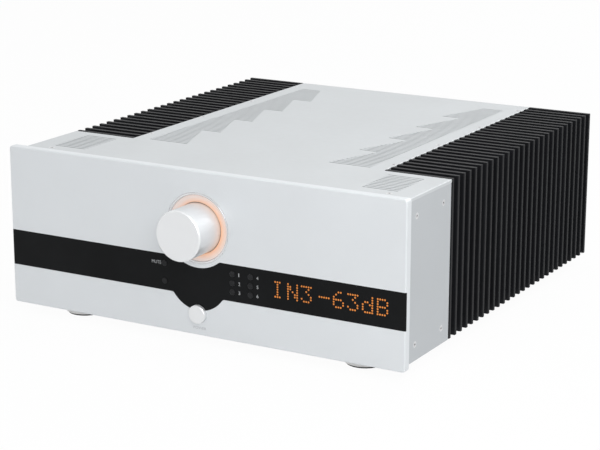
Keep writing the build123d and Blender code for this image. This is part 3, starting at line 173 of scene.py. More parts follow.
class Effects:
    """Shader groups that several finishes share, each built once."""

    def __init__(self) -> None:
        """Builds every group."""
        self.grain = self._grain()
        self.brush = self._brush()
        self.turn = self._turn()
        self.wear = self._wear()
        self.dust = self._dust()
        self.tracks = self._tracks()

    @staticmethod
    def _start(name: str, inputs: dict, outputs: tuple[str, ...]) -> tuple[Graph, bpy.types.Node, bpy.types.Node]:
        """Makes an empty group with its sockets.

        Args:
            name: the group's name.
            inputs: each input and its usual value.
            outputs: the outputs, all of them values.

        Returns:
            The graph, its input node and its output node.
        """
        tree = bpy.data.node_groups.new(name, "ShaderNodeTree")
        for key, value in inputs.items():
            kind = "NodeSocketVector" if isinstance(value, tuple) else "NodeSocketFloat"
            tree.interface.new_socket(key, in_out="INPUT", socket_type=kind).default_value = value
        for key in outputs:
            tree.interface.new_socket(key, in_out="OUTPUT", socket_type="NodeSocketFloat")
        graph = Graph(tree)
        return graph, graph.add("NodeGroupInput"), graph.add("NodeGroupOutput")

    def _grain(self) -> bpy.types.NodeTree:
        """Fine blasted grain and slow mottling."""
        graph, given, out = self._start("fine_grain", {"Scale": 900.0}, ("Height", "Mottle"))
        place = graph.add("TexCoord").outputs["Object"]
        fine = graph.add("TexNoise", {"Vector": place, "Scale": given.outputs["Scale"], "Detail": 3.0})
        slow = graph.add("TexNoise", {"Vector": place, "Scale": 14.0, "Detail": 4.0, "Roughness": 0.6})
        graph.feed(out.inputs["Height"], fine.outputs[0])
        graph.feed(out.inputs["Mottle"], slow.outputs[0])
        return graph.tree

    def _brush(self) -> bpy.types.NodeTree:
        """Long fine lines, stretched along one direction."""
        graph, given, out = self._start(
            "brushed_lines", {"Stretch": (12.0, 900.0, 900.0)}, ("Height", "Streaks"))
        place = graph.add("TexCoord").outputs["Object"]
        lines = graph.add("VectorMath", {0: place, 1: given.outputs["Stretch"]}, operation="MULTIPLY")
        fine = graph.add("TexNoise", {"Vector": lines.outputs[0], "Scale": 1.0, "Detail": 4.0})
        wide = graph.add("TexNoise", {"Vector": lines.outputs[0], "Scale": 0.12, "Detail": 2.0})
        graph.feed(out.inputs["Height"], fine.outputs[0])
        graph.feed(out.inputs["Streaks"], wide.outputs[0])
        return graph.tree

    def _turn(self) -> bpy.types.NodeTree:
        """Rings left by a lathe round an axis that runs front to back."""
        graph, given, out = self._start(
            "turned_rings", {"Centre": (0.0, 0.0, 0.0), "Pitch": 0.0004}, ("Height", "Radius", "Sweep"))
        place = graph.add("TexCoord").outputs["Object"]
        away = graph.add("VectorMath", {0: place, 1: given.outputs["Centre"]}, operation="SUBTRACT")
        parts = graph.add("SeparateXYZ", {0: away.outputs[0]})
        across, up = parts.outputs[0], parts.outputs[2]
        radius = graph.math("SQRT", graph.math("ADD", graph.math("MULTIPLY", across, across),
                                               graph.math("MULTIPLY", up, up)))
        turns = graph.math("DIVIDE", radius, given.outputs["Pitch"])
        wave = graph.math("SINE", graph.math("MULTIPLY", turns, 2 * math.pi))
        graph.feed(out.inputs["Height"], graph.math("MULTIPLY_ADD", wave, 0.5, 0.5))
        graph.feed(out.inputs["Radius"], radius)
        graph.feed(out.inputs["Sweep"], graph.math("ARCTAN2", up, across))
        return graph.tree

    def _wear(self) -> bpy.types.NodeTree:
        """Edges rubbed brighter, unevenly."""
        graph, given, out = self._start("edge_wear", {"Width": WEAR_WIDTH, "Amount": 0.5}, ("Mask",))
        rounded = graph.add("Bevel", {"Radius": given.outputs["Width"]}, samples=4)
        flat = graph.add("NewGeometry").outputs["Normal"]
        same = graph.add("VectorMath", {0: rounded.outputs[0], 1: flat}, operation="DOT_PRODUCT").outputs["Value"]
        edge = graph.math("MULTIPLY", graph.math("SUBTRACT", 1.0, same), 6.0, clamp=True)
        patchy = graph.add("TexNoise", {"Vector": graph.add("TexCoord").outputs["Object"], "Scale": 60.0})
        uneven = graph.math("MULTIPLY", edge, graph.ramp(patchy.outputs[0], 0.25, 0.7))
        graph.feed(out.inputs["Mask"], graph.math("MULTIPLY", uneven, given.outputs["Amount"], clamp=True))
        return graph.tree

    def _dust(self) -> bpy.types.NodeTree:
        """A thin film on faces that look up."""
        graph, given, out = self._start("dust_film", {"Amount": 0.1}, ("Mask",))
        up = graph.add("SeparateXYZ", {0: graph.add("NewGeometry").outputs["Normal"]}).outputs[2]
        specks = graph.add("TexNoise", {"Vector": graph.add("TexCoord").outputs["Object"], "Scale": 120.0,
                                        "Detail": 6.0})
        film = graph.math("MULTIPLY", graph.ramp(up, 0.4, 1.0), graph.ramp(specks.outputs[0], 0.3, 0.75))
        graph.feed(out.inputs["Mask"], graph.math("MULTIPLY", film, given.outputs["Amount"], clamp=True))
        return graph.tree

    def _tracks(self) -> bpy.types.NodeTree:
        """Copper tracks under lacquer."""
        graph, given, out = self._start("board_tracks", {"Scale": 260.0}, ("Mask",))
        place = graph.add("TexCoord").outputs["Object"]
        cells = graph.add("TexVoronoi", {"Vector": place, "Scale": given.outputs["Scale"]},
                          distance="MANHATTAN", feature="F1")
        wave = graph.math("SINE", graph.math("MULTIPLY", cells.outputs["Distance"], 22.0))
        graph.feed(out.inputs["Mask"], graph.ramp(wave, 0.2, 0.45))
        return graph.tree


@dataclass(frozen=True)
class Finish:
    """One surface: its colour and how it is worked, worn and dusted; the cover's and cheeks' colours hold painted
    shade, the feet's painted light.
    """

    name: str
    colour: Colour
    metallic: float = 0.0
    roughness: float = 0.5
    specular: float = 0.5
    coat: float = 0.0
    pattern: Pattern = Pattern.GRAIN
    scale: float = 900.0
    depth: float = 0.1
    mottle: float = 0.08
    wear: float = 0.0
    wear_colour: Colour = (0.9, 0.91, 0.92)
    dust: float = 0.0
    centre: Point = (0.0, 0.0, 0.0)
    second: Colour = (0.0, 0.0, 0.0)
    stretch: Point = (12.0, 900.0, 900.0)

    def make(self, effects: Effects) -> bpy.types.Material:
        """Builds the material.

        Args:
            effects: the shared groups.

        Returns:
            The material.
        """
        material = bpy.data.materials.new(self.name)
        material.use_nodes = True
        graph = Graph(material.node_tree)
        shader = graph.add("BsdfPrincipled", {"Metallic": self.metallic, "Specular IOR Level": self.specular,
                                              "Coat Weight": self.coat, "Coat Roughness": 0.12})
        height, patch = self._pattern(graph, effects)
        darker = tuple(channel * (1 - self.mottle) for channel in self.colour)
        lighter = tuple(min(1.0, channel * (1 + self.mottle)) for channel in self.colour)
        colour = graph.blend(graph.ramp(patch, 0.35, 0.65), darker, lighter)
        if self.pattern in (Pattern.TRACKS, Pattern.WOUND):
            share = height if self.pattern is Pattern.WOUND else patch
            colour = graph.blend(graph.math("MULTIPLY", share, 0.8, clamp=True), colour, self.second)
        rough = graph.math("MULTIPLY_ADD", patch, 0.12, self.roughness - 0.06)
        if self.wear:
            worn = graph.group(effects.wear, {"Width": WEAR_WIDTH, "Amount": self.wear}).outputs["Mask"]
            colour = graph.blend(worn, colour, self.wear_colour)
        if self.dust:
            film = graph.group(effects.dust, {"Amount": self.dust}).outputs["Mask"]
            colour = graph.blend(film, colour, DUST_COLOUR)
            rough = graph.math("ADD", rough, graph.math("MULTIPLY", film, 0.3), clamp=True)
        graph.feed(shader.inputs["Base Color"], colour)
        graph.feed(shader.inputs["Roughness"], rough)
        bump = graph.add("Bump", {"Strength": self.depth, "Distance": 0.0002, "Height": height})
        graph.feed(shader.inputs["Normal"], bump.outputs[0])
        out = graph.add("OutputMaterial")
        graph.feed(out.inputs[0], shader.outputs[0])
        return material

    def _pattern(self, graph: Graph, effects: Effects) -> tuple[bpy.types.NodeSocket, bpy.types.NodeSocket]:
        """Places the group of this surface's pattern.

        Args:
            graph: the material's graph.
            effects: the shared groups.

        Returns:
            The height for the bump, and the slow change of tone.
        """
        if self.pattern is Pattern.BRUSHED:
            lines = graph.group(effects.brush, {"Stretch": self.stretch})
            return lines.outputs["Height"], lines.outputs["Streaks"]
        grain = graph.group(effects.grain, {"Scale": self.scale})
        if self.pattern in (Pattern.TURNED, Pattern.WOUND):
            rings = graph.group(effects.turn, {"Centre": self.centre, "Pitch": 1.0 / self.scale})
            return rings.outputs["Height"], grain.outputs["Mottle"]
        if self.pattern is Pattern.TRACKS:
            return grain.outputs["Height"], graph.group(effects.tracks, {"Scale": self.scale}).outputs["Mask"]
        return grain.outputs["Height"], grain.outputs["Mottle"]


@dataclass(frozen=True)
class RingGlow:
    """Diffuser lit from behind, strongest beside the knob and fading outwards."""

    name: str = "lit_diffuser"
    near: Colour = (1.0, 0.50, 0.26)
    far: Colour = (0.66, 0.52, 0.48)
    centre: Point = KNOB_CENTRE
    inner: float = 0.0252
    outer: float = 0.0317
    strength: float = 0.42

    def make(self, effects: Effects) -> bpy.types.Material:
        """Builds the material.

        Args:
            effects: the shared groups.

        Returns:
            The material.
        """
        material = bpy.data.materials.new(self.name)
        material.use_nodes = True
        graph = Graph(material.node_tree)
        rings = graph.group(effects.turn, {"Centre": self.centre, "Pitch": 0.001})
        outwards = graph.ramp(rings.outputs["Radius"], self.inner, self.outer)
        side = graph.math("COSINE", graph.math("SUBTRACT", rings.outputs["Sweep"], -0.25))
        turned = graph.math("MULTIPLY_ADD", side, -0.22, 0.22)
        share = graph.math("ADD", outwards, turned, clamp=True)
        mottle = graph.group(effects.grain, {"Scale": 300.0}).outputs["Mottle"]
        glow = graph.blend(share, self.near, self.far)
        soft = graph.blend(graph.math("MULTIPLY", mottle, 0.1), glow, (1.0, 0.8, 0.65))
        shader = graph.add("BsdfPrincipled", {"Base Color": graph.blend(share, (0.5, 0.3, 0.2), (0.55, 0.48, 0.45)),
                                              "Roughness": 0.55, "Emission Color": soft,
                                              "Emission Strength": self.strength})
        out = graph.add("OutputMaterial")
        graph.feed(out.inputs[0], shader.outputs[0])
        return material


@dataclass(frozen=True)
class Lamp:
    """Light that a lit sign gives: one hue with a soft change from dot to dot."""

    name: str
    colour: Colour
    strength: float

    def make(self, effects: Effects) -> bpy.types.Material:
        """Builds the material.

        Args:
            effects: the shared groups.

        Returns:
            The material.
        """
        material = bpy.data.materials.new(self.name)
        material.use_nodes = True
        graph = Graph(material.node_tree)
        mottle = graph.group(effects.grain, {"Scale": 500.0}).outputs["Mottle"]
        dim = tuple(channel * 0.8 for channel in self.colour)
        hue = graph.blend(graph.ramp(mottle, 0.35, 0.65), dim, self.colour)
        shader = graph.add("BsdfPrincipled", {"Base Color": (0.02, 0.01, 0.0), "Roughness": 0.4,
                                              "Emission Color": hue, "Emission Strength": self.strength})
        out = graph.add("OutputMaterial")
        graph.feed(out.inputs[0], shader.outputs[0])
        return material


SILVER: Colour = (0.70, 0.725, 0.745)
FINISHES = (
    Finish("satin_silver", SILVER, metallic=0.45, roughness=0.46, scale=2600.0, depth=0.12, mottle=0.012,
           wear=0.35, dust=0.03),
    # Top cover: the fascia's silver darkened as painted shade, for the lower light on the top.
    Finish("cover_silver_painted_shade", (0.57, 0.592, 0.605), metallic=0.45, roughness=0.5, scale=2600.0, depth=0.12,
           mottle=0.015, wear=0.3, dust=0.06),
    # Side cheeks: the same silver darkened further as painted shade, for the sides that face away from the light.
    Finish("cheek_silver_painted_shade", (0.485, 0.507, 0.525), metallic=0.45, roughness=0.48, scale=2600.0, depth=0.12,
           mottle=0.015, wear=0.5),
    Finish("knob_silver", (0.78, 0.79, 0.80), metallic=0.5, roughness=0.34, pattern=Pattern.TURNED, scale=2500.0,
           depth=0.05, mottle=0.01, wear=0.8, centre=KNOB_CENTRE),
    Finish("bezel_silver", (0.76, 0.77, 0.78), metallic=0.6, roughness=0.25, pattern=Pattern.TURNED, scale=2500.0,
           depth=0.04, mottle=0.01, wear=0.5, centre=KNOB_CENTRE),
    Finish("power_silver", (0.78, 0.79, 0.80), metallic=0.5, roughness=0.34, pattern=Pattern.TURNED, scale=2500.0,
           depth=0.05, mottle=0.01, wear=0.8, centre=POWER_CENTRE),
    # Feet: the turned silver made paler as painted light, to offset the shade beneath the chassis.
    Finish("foot_silver_painted_light", (0.86, 0.86, 0.85), metallic=0.25, roughness=0.4, pattern=Pattern.BRUSHED,
           stretch=(10.0, 10.0, 1500.0), depth=0.12, mottle=0.03, wear=0.7),
    Finish("black_acrylic", (0.0055, 0.006, 0.0065), roughness=0.2, specular=0.09, scale=220.0, depth=0.015,
           mottle=0.2, dust=0.02),
    Finish("button_smoke", (0.012, 0.0125, 0.0135), roughness=0.3, specular=0.18, scale=1500.0, depth=0.03,
           wear=0.25, wear_colour=(0.2, 0.2, 0.21)),
    Finish("black_anodised", (0.008, 0.0085, 0.010), roughness=0.5, specular=0.13,
           pattern=Pattern.BRUSHED, stretch=(900.0, 900.0, 9.0), depth=0.2, mottle=0.12, wear=0.4,
           wear_colour=(0.06, 0.06, 0.065), dust=0.01),
    Finish("rear_silver", (0.60, 0.62, 0.63), metallic=0.5, roughness=0.45, pattern=Pattern.BRUSHED,
           stretch=(14.0, 900.0, 1100.0), depth=0.15, mottle=0.03, wear=0.4),
    Finish("zinc_steel", (0.50, 0.51, 0.52), metallic=0.85, roughness=0.42, scale=260.0, depth=0.1, mottle=0.14),
    Finish("screw_steel", (0.62, 0.62, 0.63), metallic=0.9, roughness=0.33, scale=1800.0, depth=0.08, mottle=0.08,
           wear=0.6),
    Finish("foot_rubber", (0.025, 0.025, 0.026), roughness=0.85, specular=0.2, scale=1200.0, depth=0.4, dust=0.1),
    Finish("circuit_board", (0.012, 0.11, 0.045), roughness=0.35, coat=0.3, pattern=Pattern.TRACKS, scale=210.0,
           second=(0.03, 0.20, 0.085), depth=0.1),
    Finish("component_black", (0.02, 0.02, 0.022), roughness=0.55, scale=1600.0, depth=0.2, mottle=0.15),
    Finish("capacitor_sleeve", (0.015, 0.02, 0.06), roughness=0.3, coat=0.4, scale=400.0, depth=0.04,
           mottle=0.12),
    Finish("transformer_winding", (0.50, 0.26, 0.08), metallic=0.5, roughness=0.35, coat=0.5,
           pattern=Pattern.WOUND, scale=900.0, second=(0.24, 0.11, 0.03), depth=0.5, centre=WINDING_CENTRE),
    Finish("socket_black", (0.018, 0.018, 0.019), roughness=0.45, specular=0.4, scale=1400.0, depth=0.15,
           mottle=0.12, wear=0.25, wear_colour=(0.10, 0.10, 0.10)),
    Finish("gold_contact", (0.83, 0.60, 0.24), metallic=1.0, roughness=0.22, scale=1500.0, depth=0.04,
           mottle=0.04, wear=0.3, wear_colour=(0.95, 0.78, 0.45)),
    Finish("blade_brass", (0.70, 0.68, 0.60), metallic=1.0, roughness=0.3, scale=1200.0, depth=0.06, mottle=0.05,
           wear=0.4),
    Finish("terminal_red", (0.42, 0.012, 0.012), roughness=0.3, coat=0.3, scale=900.0, depth=0.04, mottle=0.06,
           wear=0.2, wear_colour=(0.7, 0.2, 0.18)),
    Finish("terminal_black", (0.016, 0.016, 0.017), roughness=0.3, coat=0.3, scale=900.0, depth=0.04,
           mottle=0.1, wear=0.2, wear_colour=(0.12, 0.12, 0.12)),
    Finish("print_white", (0.42, 0.43, 0.44), roughness=0.6, scale=900.0, depth=0.1, mottle=0.1),
    Finish("print_grey", (0.42, 0.43, 0.45), roughness=0.6, scale=900.0, depth=0.1, mottle=0.1),
    Finish("wire_sleeve", (0.30, 0.02, 0.015), roughness=0.4, scale=700.0, depth=0.05, mottle=0.08),
    RingGlow(),
    Lamp("dot_light", (1.0, 0.30, 0.03), 0.78),
)

# The top cover and side cheeks take darker copies of the silver as painted shade.
SPECIAL = {
    "top_cover": "cover_silver_painted_shade", "side_cheek_left": "cheek_silver_painted_shade", "side_cheek_right": "cheek_silver_painted_shade",
    "volume_knob": "knob_silver", "knob_bezel": "bezel_silver", "power_button": "power_silver",
    # The feet take the paler, painted-light copy of the turned silver.
    "feet": "foot_silver_painted_light",
}


class Workshop:
    """Holds the finished materials and hands them to pieces."""

    def __init__(self) -> None:
        """Builds the shared groups, then every finish."""
        effects = Effects()
        self.materials = {finish.name: finish.make(effects) for finish in FINISHES}

    def dress(self, piece: bpy.types.Object, finish: str) -> None:
        """Gives a piece one finish.

        Args:
            piece: the object.
            finish: the finish's name.
        """
        piece.data.materials.clear()
        piece.data.materials.append(self.materials[finish])

    def dress_frame(self) -> None:
        """Gives each node of the frame the finish that its slot asks for."""
        slots = {part["node"]: part["material_slot"] for part in frame["record"]["subparts"]}
        for name, piece in frame["nodes"].items():
            finish = SPECIAL.get(name, slots[name])
            if not piece.material_slots:
                piece.data.materials.append(None)
            for place in piece.material_slots:
                place.material = self.materials[finish]
            log.info("%s: %s", name, finish)

    def keep(self, data: bpy.types.ID, name: str, finish: str, slot: str) -> None:
        """Turns a mesh or curve into a piece that rides on the chassis.

        Args:
            data: the piece's mesh or curve, in metres and in place.
            name: the piece's name.
            finish: its finish.
            slot: the record's slot that it belongs to; not used.
        """
        piece = bpy.data.objects.new(name, data)
        bpy.context.scene.collection.objects.link(piece)
        self.dress(piece, finish)
        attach(piece, CHASSIS)
        log.info("%s rides on %s", name, CHASSIS)


def solid_of(builder: bmesh.types.BMesh, name: str) -> bpy.types.Mesh:
    """Closes a bmesh into a mesh.

    Args:
        builder: the bmesh, which is freed.
        name: the mesh's name.

    Returns:
        The mesh.
    """
    bmesh.ops.recalc_face_normals(builder, faces=builder.faces)
    mesh = bpy.data.meshes.new(name)
    builder.to_mesh(mesh)
    builder.free()
    return mesh


def lathe(builder: bmesh.types.BMesh, profile: list[tuple[float, float]], place: Matrix, steps: int = 32) -> None:
    """Turns a profile about the local Z axis and adds it.

    Args:
        builder: the bmesh to add to.
        profile: (radius, height) points, the first and last on the axis or closing a ring.
        place: where the turned piece goes.
        steps: how many sides it gets.
    """
    rings = []
    for radius, height in profile:
        if radius < 1e-7:
            rings.append([builder.verts.new(place @ Vector((0, 0, height)))])
            continue
        turn = [2 * math.pi * step / steps for step in range(steps)]
        rings.append([builder.verts.new(place @ Vector((radius * math.cos(a), radius * math.sin(a), height)))
                      for a in turn])
    for low, high in zip(rings, rings[1:]):
        for step in range(steps):
            following = (step + 1) % steps
            corners = [low[step % len(low)], low[following % len(low)], high[following % len(high)],
                       high[step % len(high)]]
            unique = list(dict.fromkeys(corners))
            if len(unique) > 2:
                builder.faces.new(unique)


def block(builder: bmesh.types.BMesh, low: Vector, high: Vector, edge: float) -> None:
    """Adds a block with its edges bevelled.

    Args:
        builder: the bmesh to add to.
        low: its lowest corner.
        high: its highest corner.
        edge: width of the bevel.
    """
    size = high - low
    place = Matrix.Translation((low + high) / 2) @ Matrix.Diagonal((*size, 1.0))
    made = bmesh.ops.create_cube(builder, size=1.0, matrix=place)
    edges = list({line for vertex in made["verts"] for line in vertex.link_edges})
    bmesh.ops.bevel(builder, geom=edges, offset=edge, segments=2, affect="EDGES", profile=0.5)


def facing(direction: Vector, at: Vector) -> Matrix:
    """Matrix that stands local Z along a direction at a point."""
    return Matrix.Translation(at) @ direction.to_track_quat("Z", "Y").to_matrix().to_4x4()


DOTS = {
    "I": ("01110", "00100", "00100", "00100", "00100", "00100", "01110"),
    "N": ("10001", "11001", "11001", "10101", "10011", "10011", "10001"),
    "3": ("11111", "00010", "00100", "00010", "00001", "10001", "01110"),
    "-": ("00000", "00000", "00000", "11111", "00000", "00000", "00000"),
    "6": ("00110", "01000", "10000", "11110", "10001", "10001", "01110"),
    "d": ("00001", "00001", "01101", "10011", "10001", "10001", "01111"),
    "B": ("11110", "10001", "10001", "11110", "10001", "10001", "11110"),
}


@dataclass
class Fascia:
    """Front of the amplifier: lit display and lettering. Sizes in millimetres."""

    shop: Workshop
    glyphs: tuple[tuple[str, float], ...] = (
        ("I", 81.0), ("N", 96.9), ("3", 111.2), ("-", 129.7), ("6", 144.4), ("3", 159.0), ("d", 173.9),
        ("B", 188.9))
    dot_pitch: float = 2.4
    dot_rise: float = 2.35
    dot_radius: float = 0.88
    dot_low: float = 61.9
    dot_inset: float = 0.8
    dot_dome: tuple[float, float] = (0.03, 0.04)
    dot_shoulder: float = 0.85
    dot_sides: int = 14
    print_thick: float = 0.03
    words: tuple[tuple[str, float, float, float, float, str], ...] = (
        ("MUTE", -51.5, -40.9, 75.0, 78.2, "print_white"),
        ("POWER", -5.3, 8.8, 17.1, 19.6, "print_grey"),
    )
    digit_high: float = 3.2
    digit_gap: float = 3.8
    digit_rim: float = 2.8
    digit_wide: float = 1.9
    one_wide: float = 0.9
    type_depth: float = 0.01
    front: float = field(init=False)

    def __post_init__(self) -> None:
        """Takes the depth of the fascia's face from the frame."""
        self.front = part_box("front_panel")[0].y

    def display(self) -> None:
        """Builds the lit dots of the read-out behind the strip's face."""
        builder = bmesh.new()
        radius = self.dot_radius * MM
        shoulder, crown = (height * MM for height in self.dot_dome)
        profile = [(0, 0), (radius, 0), (radius * self.dot_shoulder, shoulder), (0, crown)]
        for glyph, left in self.glyphs:
            top_row = len(DOTS[glyph]) - 1
            for row, line in enumerate(DOTS[glyph]):
                for column, lit in enumerate(line):
                    if lit == "0":
                        continue
                    at = Vector(((left + self.dot_inset + column * self.dot_pitch) * MM, self.front,
                                 (self.dot_low + (top_row - row) * self.dot_rise) * MM))
                    lathe(builder, profile, facing(Vector((0, -1, 0)), at), self.dot_sides)
        self.shop.keep(solid_of(builder, "display_dots"), "display_dots", "dot_light", "lit_diffuser")

    def word(self, text: str, left: float, right: float, low: float, high: float, finish: str, name: str) -> None:
        """Prints one word or digit, stretched to its box, on the fascia.

        Args:
            text: the word.
            left: its left end.
            right: its right end.
            low: its foot.
            high: its top.
            finish: the ink.
            name: the piece's name.
        """
        curve = bpy.data.curves.new(name, "FONT")
        curve.body = text
        curve.extrude = self.type_depth
        holder = bpy.data.objects.new(name, curve)
        bpy.context.scene.collection.objects.link(holder)
        bpy.context.view_layer.update()
        evaluated = holder.evaluated_get(bpy.context.evaluated_depsgraph_get())
        mesh = bpy.data.meshes.new_from_object(evaluated)
        bpy.data.objects.remove(holder)
        xs = [vertex.co.x for vertex in mesh.vertices]
        ys = [vertex.co.y for vertex in mesh.vertices]
        zs = [vertex.co.z for vertex in mesh.vertices]
        for vertex in mesh.vertices:
            across = (vertex.co.x - min(xs)) / (max(xs) - min(xs))
            up = (vertex.co.y - min(ys)) / (max(ys) - min(ys))
            out = (vertex.co.z - min(zs)) / (max(zs) - min(zs))
            vertex.co = Vector(((left + across * (right - left)) * MM, self.front - out * self.print_thick * MM,
                                (low + up * (high - low)) * MM))
        ink_slot = "button_smoke" if finish == "print_white" else "satin_silver"
        self.shop.keep(mesh, name, finish, ink_slot)

    def lettering(self) -> None:
        """Prints the words and the digits beside their buttons."""
        for text, left, right, low, high, finish in self.words:
            self.word(text, left, right, low, high, finish, f"label_{text.lower()}")
        for number in range(1, 7):
            low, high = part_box(f"input_button_{number}")
            middle = (low + high) / 2 / MM
            left = middle.x + self.digit_gap + self.digit_rim
            width = self.one_wide if number == 1 else self.digit_wide
            foot = middle.z - self.digit_high / 2
            self.word(str(number), left, left + width, foot, foot + self.digit_high, "print_white",
                      f"digit_{number}")

    def build(self) -> None:
        """Builds every piece of the fascia."""
        self.display()
        self.lettering()


@dataclass
class Interior:
    """Small parts on the boards inside. Sizes in metres."""

    shop: Workshop
    seed: int = 7
    parts_each: int = 46
    edge: float = 0.0003
    board_margin: float = 0.012
    part_sizes: tuple[tuple[float, float], ...] = ((0.004, 0.009), (0.0065, 0.003), (0.005, 0.005))
    part_heights: tuple[float, float] = (0.35, 1.0)
    can_first: float = 0.0175
    can_pitch: float = 0.042
    can_columns: int = 4
    can_rows: int = 2
    can_rim: tuple[tuple[float, float], ...] = (
        (0.0148, 0), (0.0150, 0.0005), (0.0158, 0.0005), (0.0160, 0), (0.0148, 0))
    can_sides: int = 36
    vent_bar: Point = (0.02, 0.0008, 0.0005)
    vent_edge: float = 0.0001
    lead_count: int = 4
    lead_pitch: float = 0.016
    lead_radius: float = 0.0013

    def stuff_board(self, name: str, axis: int, outwards: int, clear: float) -> None:
        """Puts chips, resistors and small capacitors on one face of a board.

        Args:
            name: the board's node.
            axis: the axis that the board faces along.
            outwards: which way along it the parts stand.
            clear: how high they may stand.
        """
        rng = random.Random(f"{self.seed}{name}")
        low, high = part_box(name)
        others = [index for index in range(3) if index != axis]
        face = high[axis] if outwards > 0 else low[axis]
        builder = bmesh.new()
        for _ in range(self.parts_each):
            size = Vector((0, 0, 0))
            size[others[0]], size[others[1]] = rng.choice(self.part_sizes)
            size[axis] = rng.uniform(*self.part_heights) * clear
            at = Vector((0, 0, 0))
            for index in others:
                margin = self.board_margin + size[index]
                at[index] = rng.uniform(low[index] + margin, high[index] - margin)
            at[axis] = face if outwards > 0 else face - size[axis]
            block(builder, at, at + size, self.edge)
        self.shop.keep(solid_of(builder, f"{name}_parts"), f"{name}_parts", "component_black", "component_black")

    def can_tops(self) -> None:
        """Scores a vent cross and a rolled rim on each reservoir capacitor."""
        low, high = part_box("reservoir_capacitors")
        builder = bmesh.new()
        for column in range(self.can_columns):
            for row in range(self.can_rows):
                at = Vector((low.x + self.can_first + column * self.can_pitch,
                             low.y + self.can_first + row * self.can_pitch, high.z))
                lathe(builder, list(self.can_rim), Matrix.Translation(at), self.can_sides)
                for turn in (0.0, math.pi / 2):
                    place = Matrix.Translation(at) @ Matrix.Rotation(turn, 4, "Z")
                    made = bmesh.ops.create_cube(
                        builder, size=1.0, matrix=place @ Matrix.Diagonal((*self.vent_bar, 1.0)))
                    lines = list({line for vertex in made["verts"] for line in vertex.link_edges})
                    bmesh.ops.bevel(builder, geom=lines, offset=self.vent_edge, segments=1, affect="EDGES")
        self.shop.keep(solid_of(builder, "can_tops"), "can_tops", "zinc_steel", "zinc_steel")

    def leads(self) -> None:
        """Runs the transformer's leads to the power supply board."""
        low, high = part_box("transformer")
        board_low, board_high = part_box("power_supply_board")
        for number in range(self.lead_count):
            across = (number - (self.lead_count - 1) / 2) * self.lead_pitch
            curve = bpy.data.curves.new(f"lead_{number + 1}", "CURVE")
            curve.dimensions = "3D"
            curve.bevel_depth = self.lead_radius
            curve.bevel_resolution = 3
            line = curve.splines.new("NURBS")
            points = [(across, high.y - 0.012, high.z - 0.006), (across, high.y - 0.002, high.z + 0.001),
                      (across, high.y + 0.006, high.z - 0.015), (across * 1.2, high.y + 0.006, 0.04),
                      (across * 1.3, board_low.y + 0.004, 0.028), (across * 1.3, board_low.y + 0.005,
                                                                   board_high.z)]
            line.points.add(len(points) - 1)
            for point, co in zip(line.points, points):
                point.co = (*co, 1.0)
            line.order_u = 3
            line.use_endpoint_u = True
            self.shop.keep(curve, curve.name, "wire_sleeve", "terminal_red")

    def build(self) -> None:
        """Builds every small part inside."""
        self.stuff_board("power_supply_board", 2, 1, 0.004)
        self.stuff_board("amp_board_left", 0, 1, 0.007)
        self.stuff_board("amp_board_right", 0, -1, 0.007)
        self.stuff_board("input_board", 1, -1, 0.004)
        self.stuff_board("control_board", 1, 1, 0.003)
        self.can_tops()
        self.leads()


@dataclass
class RearFittings:
    """Small hardware on the rear panel. Sizes in metres."""

    shop: Workshop
    phono_first: float = 0.0062
    phono_pitch: tuple[float, float] = (0.020, 0.022)
    phono_columns: int = 5
    ring_radii: tuple[float, float] = (0.0017, 0.0030)
    ring_depth: float = 0.0004
    ring_sides: int = 28
    latch: Point = (0.006, 0.0016, 0.0028)
    latch_places: tuple[float, ...] = (-0.100, -0.070, 0.070, 0.100)
    latch_low: float = 0.1355
    latch_edge: float = 0.0004

    def phono_inserts(self) -> None:
        """Adds the insulating ring in the mouth of each phono socket."""
        low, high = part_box("phono_sockets")
        white, red = bmesh.new(), bmesh.new()
        inner, outer = self.ring_radii
        back = -self.ring_depth
        profile = [(inner, back), (inner, 0.0), (outer, 0.0), (outer, back), (inner, back)]
        for column in range(self.phono_columns):
            for row, builder in ((0, red), (1, white)):
                x = low.x + self.phono_first + column * self.phono_pitch[0]
                z = low.z + self.phono_first + row * self.phono_pitch[1]
                place = facing(Vector((0, 1, 0)), Vector((x, high.y, z)))
                lathe(builder, profile, place, self.ring_sides)
        self.shop.keep(solid_of(red, "phono_rings_red"), "phono_rings_red", "terminal_red", "terminal_red")
        self.shop.keep(solid_of(white, "phono_rings_pale"), "phono_rings_pale", "print_white", "rear_silver")

    def latches(self) -> None:
        """Adds the release tab over each balanced socket."""
        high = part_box("xlr_sockets")[1]
        builder = bmesh.new()
        for x in self.latch_places:
            low_corner = Vector((x - self.latch[0] / 2, high.y, self.latch_low))
            block(builder, low_corner, low_corner + Vector(self.latch), self.latch_edge)
        self.shop.keep(solid_of(builder, "socket_latches"), "socket_latches", "screw_steel", "screw_steel")

    def build(self) -> None:
        """Builds every fitting of the rear."""
        self.phono_inserts()
        self.latches()


